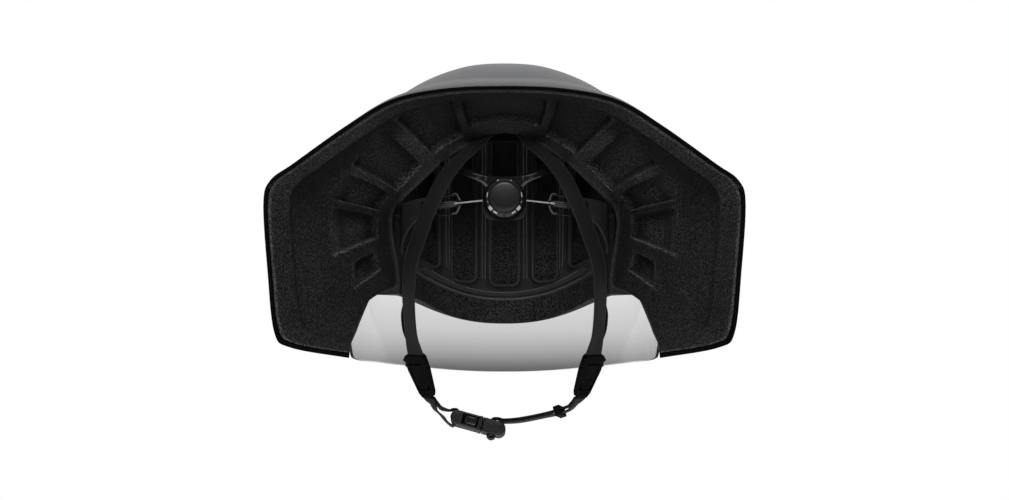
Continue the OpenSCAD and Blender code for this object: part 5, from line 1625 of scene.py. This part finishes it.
def makeBands():
    s = cradle
    shares = np.linspace(0, 1, 25)
    ts = np.concatenate([np.linspace(0, 0.09, 9), np.linspace(0.1, 1, 60)])
    top = np.concatenate([bandRow(t, s["bandThick"] / 2, shares) for t in ts])
    # A shallow channel along the inner face stiffens the band
    dish = 0.45 * smooth((np.minimum(shares, 1 - shares) - 0.16) / 0.08)
    rows = []
    for t in ts:
        row, deep = bandRow(t, -s["bandThick"] / 2, shares), bandRow(t, 0, shares)
        share = smooth((t - 0.32) / 0.06) * smooth((0.8 - t) / 0.06)
        rows.append(row + (deep - row) * (dish * share)[:, None])
    bottom = np.concatenate(rows)
    faces = gridFaces(len(ts), len(shares))
    for side, sign in bothSides.items():
        flip = np.array([1.0 if sign < 0 else -1.0, 1, 1])
        turned = faces if sign < 0 else [f[::-1] for f in faces]
        piece = closedSheet(f"fitBand.{side}", top * flip, bottom * flip, turned)
        weld(piece, 0.005)
        roundEdges(piece, 0.35, 55)
        # The bands take the black plastic painted lighter, as painted light
        settle(piece, flapPaintedLightMaterial, "cradle", "black_plastic", f"band_{side}")


def makeRivets():
    s = cradle
    wall = cavityX(-s["rivetY"], s["rivetZ"])
    flange = cavityX(-s["rivetY"], s["rivetZ"] + 4.5) - 0.3
    head, collar = bandX - s["bandThick"] / 2 - 0.2, bandX + s["bandThick"] / 2 + 0.2
    r, stem = 4.5, s["rivet"]
    dome = [(r * math.sin(math.radians(a)), head - 0.35 - 1.25 * math.cos(math.radians(a)) ** 0.9)
            for a in range(0, 90, 10)]
    socket = [(0, head - 0.9), (1.3, head - 0.9), (1.45, head - 1.55), (1.7, head - 1.6)]
    profile = socket + [q for q in dome if q[0] > 1.8]
    profile += [(r, head - 0.3), (r - 0.15, head), (stem, head), (stem, collar), (r - 0.2, collar),
                (r, collar + 0.2), (r, flange - 0.2), (r - 0.2, flange), (stem, flange),
                (stem, wall + 10.7), (stem - 0.3, wall + 11), (0, wall + 11)]
    rivet = placed(turnedPart(profile, 48), turnAbout("y", 90), (0, -s["rivetY"], s["rivetZ"]))
    makePart("templeRivets", joined([rivet, mirroredPart(rivet)]), mouldMaterial, "helmet", "black_plastic",
             "temple_rivets")


def guideParts():
    # A flat tail behind the band, a D-shaped frame with two windows, and a ridged tongue with its hook
    s = cradle
    h, l, t = s["guideHigh"] / 2, s["guideLong"], s["guideThick"]
    outer = [(-13, -4.5), (0, -4.5), (1.5, -h), (l - 1, -h), (l + 2.2, -3.2), (l + 3, -1.4), (l + 3, 1.4),
             (l + 2.2, 3.2), (l - 1, h), (1.5, h), (0, 4.5), (-13, 4.5)]
    windows = []
    for k in (-1, 1):
        corners = [(2.6, k * 2.2), (l + 0.6, k * 2.2), (l - 1.6, k * (h - 1.6)), (2.6, k * (h - 1.6))]
        windows.append(roundedOutline(corners, 1.2))
    parts = [platePart([roundedOutline(outer, 1.8)] + windows, t, 0.62)]
    ridges = []
    for y in (-1.35, 0, 1.35):
        ridges.append(rodPart((0.5, y, t / 2 - 0.05), (l - 3.2 + (1.6 if y == 0 else 0), y, t / 2 - 0.05),
                              0.42, sides=10))
    for k in (-1, 1):
        path = [(l - 3.2, k * 1.35, t / 2 - 0.05), (l - 1.6, k * 0.9, t / 2), (l - 0.4, 0, t / 2)]
        ridges.append(tubePart(finePath(path, 8), 0.4, 8))
        # Lighter edge round the outer end of each window, a painted highlight
        edge = [(l - 3.5, k * (h - 0.75), t / 2 - 0.2), (l - 0.6, k * (h - 0.9), t / 2 - 0.2),
                (l + 1.5, k * 3.3, t / 2 - 0.2), (l + 2.0, k * 1.7, t / 2 - 0.2)]
        ridges.append(tubePart(finePath(edge, 18), 0.42, 8))
        parts.append(rodPart((-10, k * 2.6, -t / 2 + 0.05), (0, k * 2.6, -t / 2 + 0.05), 0.4, sides=8))
    return joined(parts), joined(ridges)


def makeGuides():
    s = cradle
    # Windows face the rear: x runs towards the dial and the plate lies against the band's outer side
    stand = np.array([[-1, 0, 0], [0, 0, -1], [0, 1, 0.0]])
    middle = s["bandThick"] / 2 + s["guideGap"] + s["guideThick"] / 2
    at = (guideX, guideY, s["dialZ"] - s["sink"])
    stood = [placed(placed(part, stand, (0, -middle, 0)), turnAbout("z", s["guideTurn"]), at)
             for part in guideParts()]
    reach = s["guideLong"] + 2.4 + 0.2
    c, n = math.cos(math.radians(s["guideTurn"])), math.sin(math.radians(s["guideTurn"]))
    end = np.array([guideX - reach * c + middle * n, guideY - reach * n - middle * c, at[2]])
    hook = end + 3.4 * np.array([c, n, 0]) + [0.45 * -n, -0.9, 0]
    start = np.array([dial["base"] + 1 - 3.5, -dial["y"] + dial["deep"] / 2, s["dialZ"]])
    for side, sign in bothSides.items():
        plate, marks = [onSide(part, sign > 0) for part in stood]
        makePart(f"laceGuide.{side}", plate, satinMaterial, f"guide_{side}", "gloss_plastic",
                 f"lace_guide_{side}")
        # The guide's ridges are painted lighter, a painted highlight
        makePart(f"guideRidges.{side}", marks, ridgeHighlightMaterial, f"guide_{side}", "gloss_plastic")
        line = [lerp(start, hook, t) - np.array([0, 0.6 * math.sin(math.pi * t), 0])
                for t in np.linspace(0, 1, 22)]
        way = np.array([c, n, 0])
        knot = rodPart(hook - 0.3 * way, hook + 1.2 * way, 0.95, sides=12)
        lace = onSide(joined([tubePart(np.array(line), 0.6, 12), knot]), sign > 0)
        piece = newPiece(f"lace.{side}", *lace, 60)
        settle(piece, laceMaterial, None, "lace", f"lace_{side}")
        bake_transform(piece)


# Yoke and dial

dial = {
    "z": 53.4, "y": 108, "base": 14.2, "deep": 7, "ring": 13, "ringHigh": 9, "cap": 11.2, "gap": 0.3,
    "plate": 2.4, "teeth": 96, "lobes": 12, "capHigh": 7.4, "ringFloor": 3,
}
yoke = {"knee": (26, -91.5, 75.4), "elbow": (37, -75, 81.4), "stud": (42.5, -57, 86.5), "tip": 3.6}


def atDial(part, y):
    # The dial's parts are turned about its own line, and face the rear
    return placed(part, turnAbout("x", 90), (0, y, dial["z"]))


def makeYoke():
    d, s = dial, yoke
    front = -d["y"] + d["deep"]
    half = [(0, 17.2), (6, 17.4), (11.5, 17.9), (14.8, 18.1), (15.2, 16.2), (13.6, 13.4), (12.4, 10.6),
            (12.9, 6), (12.6, 0), (10, -8), (5.5, -12), (0, -13.2)]
    outline = np.array(half + [(-x, z) for x, z in half[1:-1][::-1]])
    smoothOutline = finePath(np.concatenate([outline, outline[:1]]), 6 * len(outline))[:-1]
    holes = [circleOutline(k * 10.6, 15.6, 0.75, 16) for k in (-1, 1)]
    parts = [atDial(platePart([smoothOutline] + holes, d["plate"], 0.6), front + d["plate"] / 2)]
    plate, stud = np.array([0, front, d["z"]]), np.array(s["stud"])
    # Two ribs on the rear face that meet the plate, and a web from the arm's lower edge down to the ring
    ribLines = (
        ([(11.9, -0.2, 16.9), (20, 3.2, 19.5), (31, 14, 25.0)], 20, 0.55, 0.35, 10),
        ([(12.2, -0.2, 15.2), (20, 2.9, 17.6), (30, 12.4, 23.0)], 20, 0.55, 0.35, 10),
        ([(12.2, 0.4, 10.2), (14.2, 0.7, 12.8), (18.5, 2.4, 15.6), (25, 7.5, 19.2)], 24, 1.1, 0.45, 12),
    )
    ribs = []
    for k in (-1, 1):
        flip = np.array([k, 1, 1.0])
        line = np.array([(11.5, front + 1.2, d["z"] + 16.0), (15.5, front + 2.4, d["z"] + 17.2),
                         s["knee"], s["elbow"], stud - [2.4, 0, 0]])
        path = finePath(line, 48) * flip
        t = np.linspace(0, 1, len(path))
        high, thick = lerp(3.2, s["tip"] / 2, t ** 0.8), lerp(1.3, 1.7, t)
        turn = np.linspace(0, 2 * np.pi, 20, endpoint=False)
        section = superOval(turn, 0.6)[None] * np.stack([high, thick], 1)[:, None]
        ahead = unit(path[-1] - path[0])
        up = np.cross(ahead, [0, -1, 0.35]) * -k
        parts.append(sweptPart(path, np.broadcast_to(unit(up), path.shape), section))
        parts.append(rodPart(path[-1], path[-1] + np.array([k * 2.0, 0, 0]), 1.75, 1.5, sides=16))
        tip = stud * flip
        parts.append(rodPart(tip - [k * 3, 0, 0], tip + [k * 1.4, 0, 0], 1.5, sides=20))
        for line, steps, r, taper, sides in ribLines:
            path = finePath(plate + line, steps) * flip
            ribs.append(tubePart(path, r * (1 - taper * np.linspace(0, 1, steps + 1)), sides))
    makePart("yokeFrame", joined(parts), satinMaterial, "cradle", "gloss_plastic", "yoke", sharp=40)
    # The ribs are painted lighter, a painted highlight where light falls on them
    makePart("yokeRibs", joined(ribs), ridgeHighlightMaterial, "cradle", "gloss_plastic", sharp=40)


def makeDial():
    d = dial
    back = -d["y"]
    front = back + d["deep"]

    def teeth(turn, height):
        if not 1.2 < height < 5.2:
            return np.ones(len(turn))
        return 1 + 0.022 * np.clip(np.sin(turn * d["teeth"]) * 3, -1, 1)

    base = [(5.1, 0.5), (5.1, 0), (13.4, 0), (14.2, 0.5), (14.75, 1.0), (14.75, 1.4), (14.75, 4.8),
            (14.75, 5.0), (14.2, 5.4), (14.0, 6.6), (13.5, 7), (5.1, 7), (5.1, 0.5)]
    makePart("dialBase", atDial(turnedPart(base, 384, teeth), front), fittingMaterial, "cradle",
             "gloss_plastic", "dial_base", sharp=30)

    def lobes(turn, height):
        wave = np.clip(np.abs(np.sin(turn * d["lobes"] / 2)) * 3.2, 0, 1)
        return 1 - 0.055 * (1 - wave) * (1 if 1.6 < height < d["ringHigh"] - 0.2 else 0)

    r, h, cap = d["ring"], d["ringHigh"], d["cap"]
    ring = [(1.9, 0.2), (1.9, 0), (r - 1.6, 0), (r - 0.5, 0.3), (r, 1.0), (r, 1.7), (r - 0.1, 2.2),
            (r - 0.25, h - 2), (r - 0.5, h - 0.7), (r - 0.9, h - 0.15), (r - 1.3, h),
            (cap + 0.15, h - 0.1), (cap + 0.1, h - 0.5), (cap + 0.1, 3.0), (1.9, 3.0), (1.9, 0.2)]
    makePart("dialRing", atDial(turnedPart(ring, 240, lobes), back - d["gap"]), ringMaterial, "dial",
             "gloss_plastic", "dial_ring", sharp=32)
    parts = []
    # Tabs that look out between the ring and the cap; their light colour is a painted glint
    tabs = [(22, 1.5, 0.75, 12), (84, 3.6, 0.7, 11.7), (108, 1.2, 0.6, 12), (130, 3.4, 2.2, 12.5),
            (150, 3.4, 1.1, 12.6)]
    for angle, long, deep, out in tabs:
        for k in (-1, 1):
            a = math.radians(90 + k * angle)
            outline = roundedOutline([(-long / 2, -deep / 2), (long / 2, -deep / 2),
                                      (long / 2 - 0.3, deep / 2), (-long / 2 + 0.3, deep / 2)], 0.25)
            tab = platePart([outline], 1.4, 0.25)
            lean = turnAbout("z", math.degrees(a) - 90) @ turnAbout("x", -16)
            at = (out * math.cos(a), out * math.sin(a), h - 0.35)
            parts.append(placed(tab, lean, at))
    makePart("dialTabs", atDial(joined(parts), back - d["gap"]), tabGlintMaterial, "dial", "gloss_plastic",
             sharp=32)

    c, ch = d["cap"], d["capHigh"]
    dome = [(c * math.sin(math.radians(a)) * 0.86, ch + 0.1 + 0.85 * math.cos(math.radians(a)))
            for a in range(86, -1, -6)]
    cap = [(0, 3), (3.6, 3), (3.6, 0.05), (c - 0.2, 0.05), (c, 0.3), (c, ch - 1.5), (c - 0.25, ch - 0.9),
           (c - 0.8, ch - 0.35), (c - 1.25, ch - 0.05)] + dome[1:]
    makePart("dialCap", atDial(turnedPart(cap, 128), back - d["gap"] - d["ringFloor"] - 0.1), capMaterial,
             "dial", "dial_cap", "dial_cap", sharp=28)


nape = {"width": 29, "high": 25, "thick": 5, "curve": 3.2, "around": 96, "power": 0.5, "rim": 0.86}


def makeNapePad():
    s = nape
    turn = np.linspace(0, 2 * np.pi, s["around"], endpoint=False)
    loop = superOval(turn, s["power"])
    # Rings from the middle of the back, round the piped edge, to the middle of the crowned front
    rings = [(0.0, 0.04), (0.0, 0.5), (0.0, 0.9), (0.08, 0.965), (0.2, 0.995), (0.34, 1.0), (0.46, 0.985),
             (0.5, 0.955), (0.46, 0.925), (0.42, 0.9), (0.5, 0.87), (0.66, 0.81), (0.8, 0.72),
             (0.9, 0.58), (0.96, 0.38), (0.99, 0.18), (1.0, 0.03)]
    verts, groove = [], []
    for t, w in rings:
        x = w * loop[:, 0]
        y = s["thick"] * t + s["curve"] * min(1, t * 1.6) * x ** 2
        verts.append(np.stack([s["width"] / 2 * x, y, s["high"] / 2 * w * loop[:, 1]], 1))
        groove.append(np.full(len(turn), 1.0 if (t, w) == (0.42, 0.9) else 0.0))
    faces = barrelFaces(len(rings), len(turn))
    at = np.array([0, -dial["y"] + dial["deep"] + dial["plate"] + 0.3, dial["z"]])
    piece = newPiece("napePad", np.concatenate(verts) + at, faces, 60)
    addFloat(piece, "groove", np.concatenate(groove))
    weld(piece, 0.005, 60)
    settle(piece, padMaterial, "cradle", "pad_fabric", "nape_pad")


makeBands()
makeRivets()
makeGuides()
makeYoke()
makeDial()
makeNapePad()
print("cradle and dial made")


# Visor lens: one bowed sheet with rounded edges

lens = {
    "thick": 2, "gap": 5, "drop": 32, "top": 50, "middle": 15, "side": 6, "power": 2 / 2.4, "edge": 0.7,
    "across": 170, "down": 36, "fade": 60, "spread": 87, "bowFrom": 15, "bowOver": 50, "bowSide": 0.02,
    "bowFront": 0.055, "droop": 4, "flat": 2.4, "lowCorner": 26, "topFall": 12, "topCorner": 12,
}


def lensPoint(angle, z, out):
    s = lens
    bow = ((z - s["bowFrom"]) / s["bowOver"]) ** 2
    rx = (form["temples"] / 2 + s["side"]) * (1 - s["bowSide"] * bow) + out
    ry = (form["nose"] + s["gap"] - s["middle"]) * (1 - s["bowFront"] * bow) + out
    c, n = np.cos(angle), np.sin(angle)
    return np.stack([np.sign(angle) * rx * np.abs(n) ** s["power"], s["middle"] + ry * c ** s["power"], z],
                    -1)


def makeLens():
    s = lens
    a, h = np.meshgrid(np.linspace(-1, 1, s["across"] + 1), np.linspace(0, 1, s["down"] + 1))
    side = np.abs(a)
    flat = s["flat"] * smooth(side / 0.45) * (1 - smooth((side - 0.6) / 0.3))
    low = -s["drop"] - s["droop"] * a * a + flat + s["lowCorner"] * np.clip((side - 0.93) / 0.07, 0, 1) ** 2
    high = s["top"] - s["topFall"] * a * a - s["topCorner"] * np.clip((side - 0.85) / 0.15, 0, 1) ** 2
    z = lerp(high, low, h)
    outer, inner = (lensPoint(np.radians(s["spread"]) * a, z, out).reshape(-1, 3) for out in (s["thick"], 0))
    piece = closedSheet("visorLens", outer, inner, gridFaces(s["down"] + 1, s["across"] + 1))
    rise = ((z - low) / s["fade"] + 0.4 * np.minimum(a * a, 0.4)).ravel()
    addFloat(piece, "rise", np.concatenate([rise, rise]))
    weld(piece, 0.005)
    roundEdges(piece, s["edge"], 50, 3)
    settle(piece, lensMaterial, "visor", "visor_lens", "visor_lens")


makeLens()
print("lens made")


# Finishes on the CAD pieces that keep their own shape

def dressNodes():
    plain = {
        "visor_magnets": magnetMaterial, "shell_magnets": magnetMaterial, "yoke_anchors": rimMaterial,
        "rear_strap_anchor": rimMaterial, "front_strap_anchors": mouldMaterial, "dial_spool": mouldMaterial,
        "dial_screw": steelMaterial,
    }
    for name, material in plain.items():
        piece = nodes[name]
        piece.data.materials.clear()
        piece.data.materials.append(material)


dressNodes()
print("other pieces dressed")
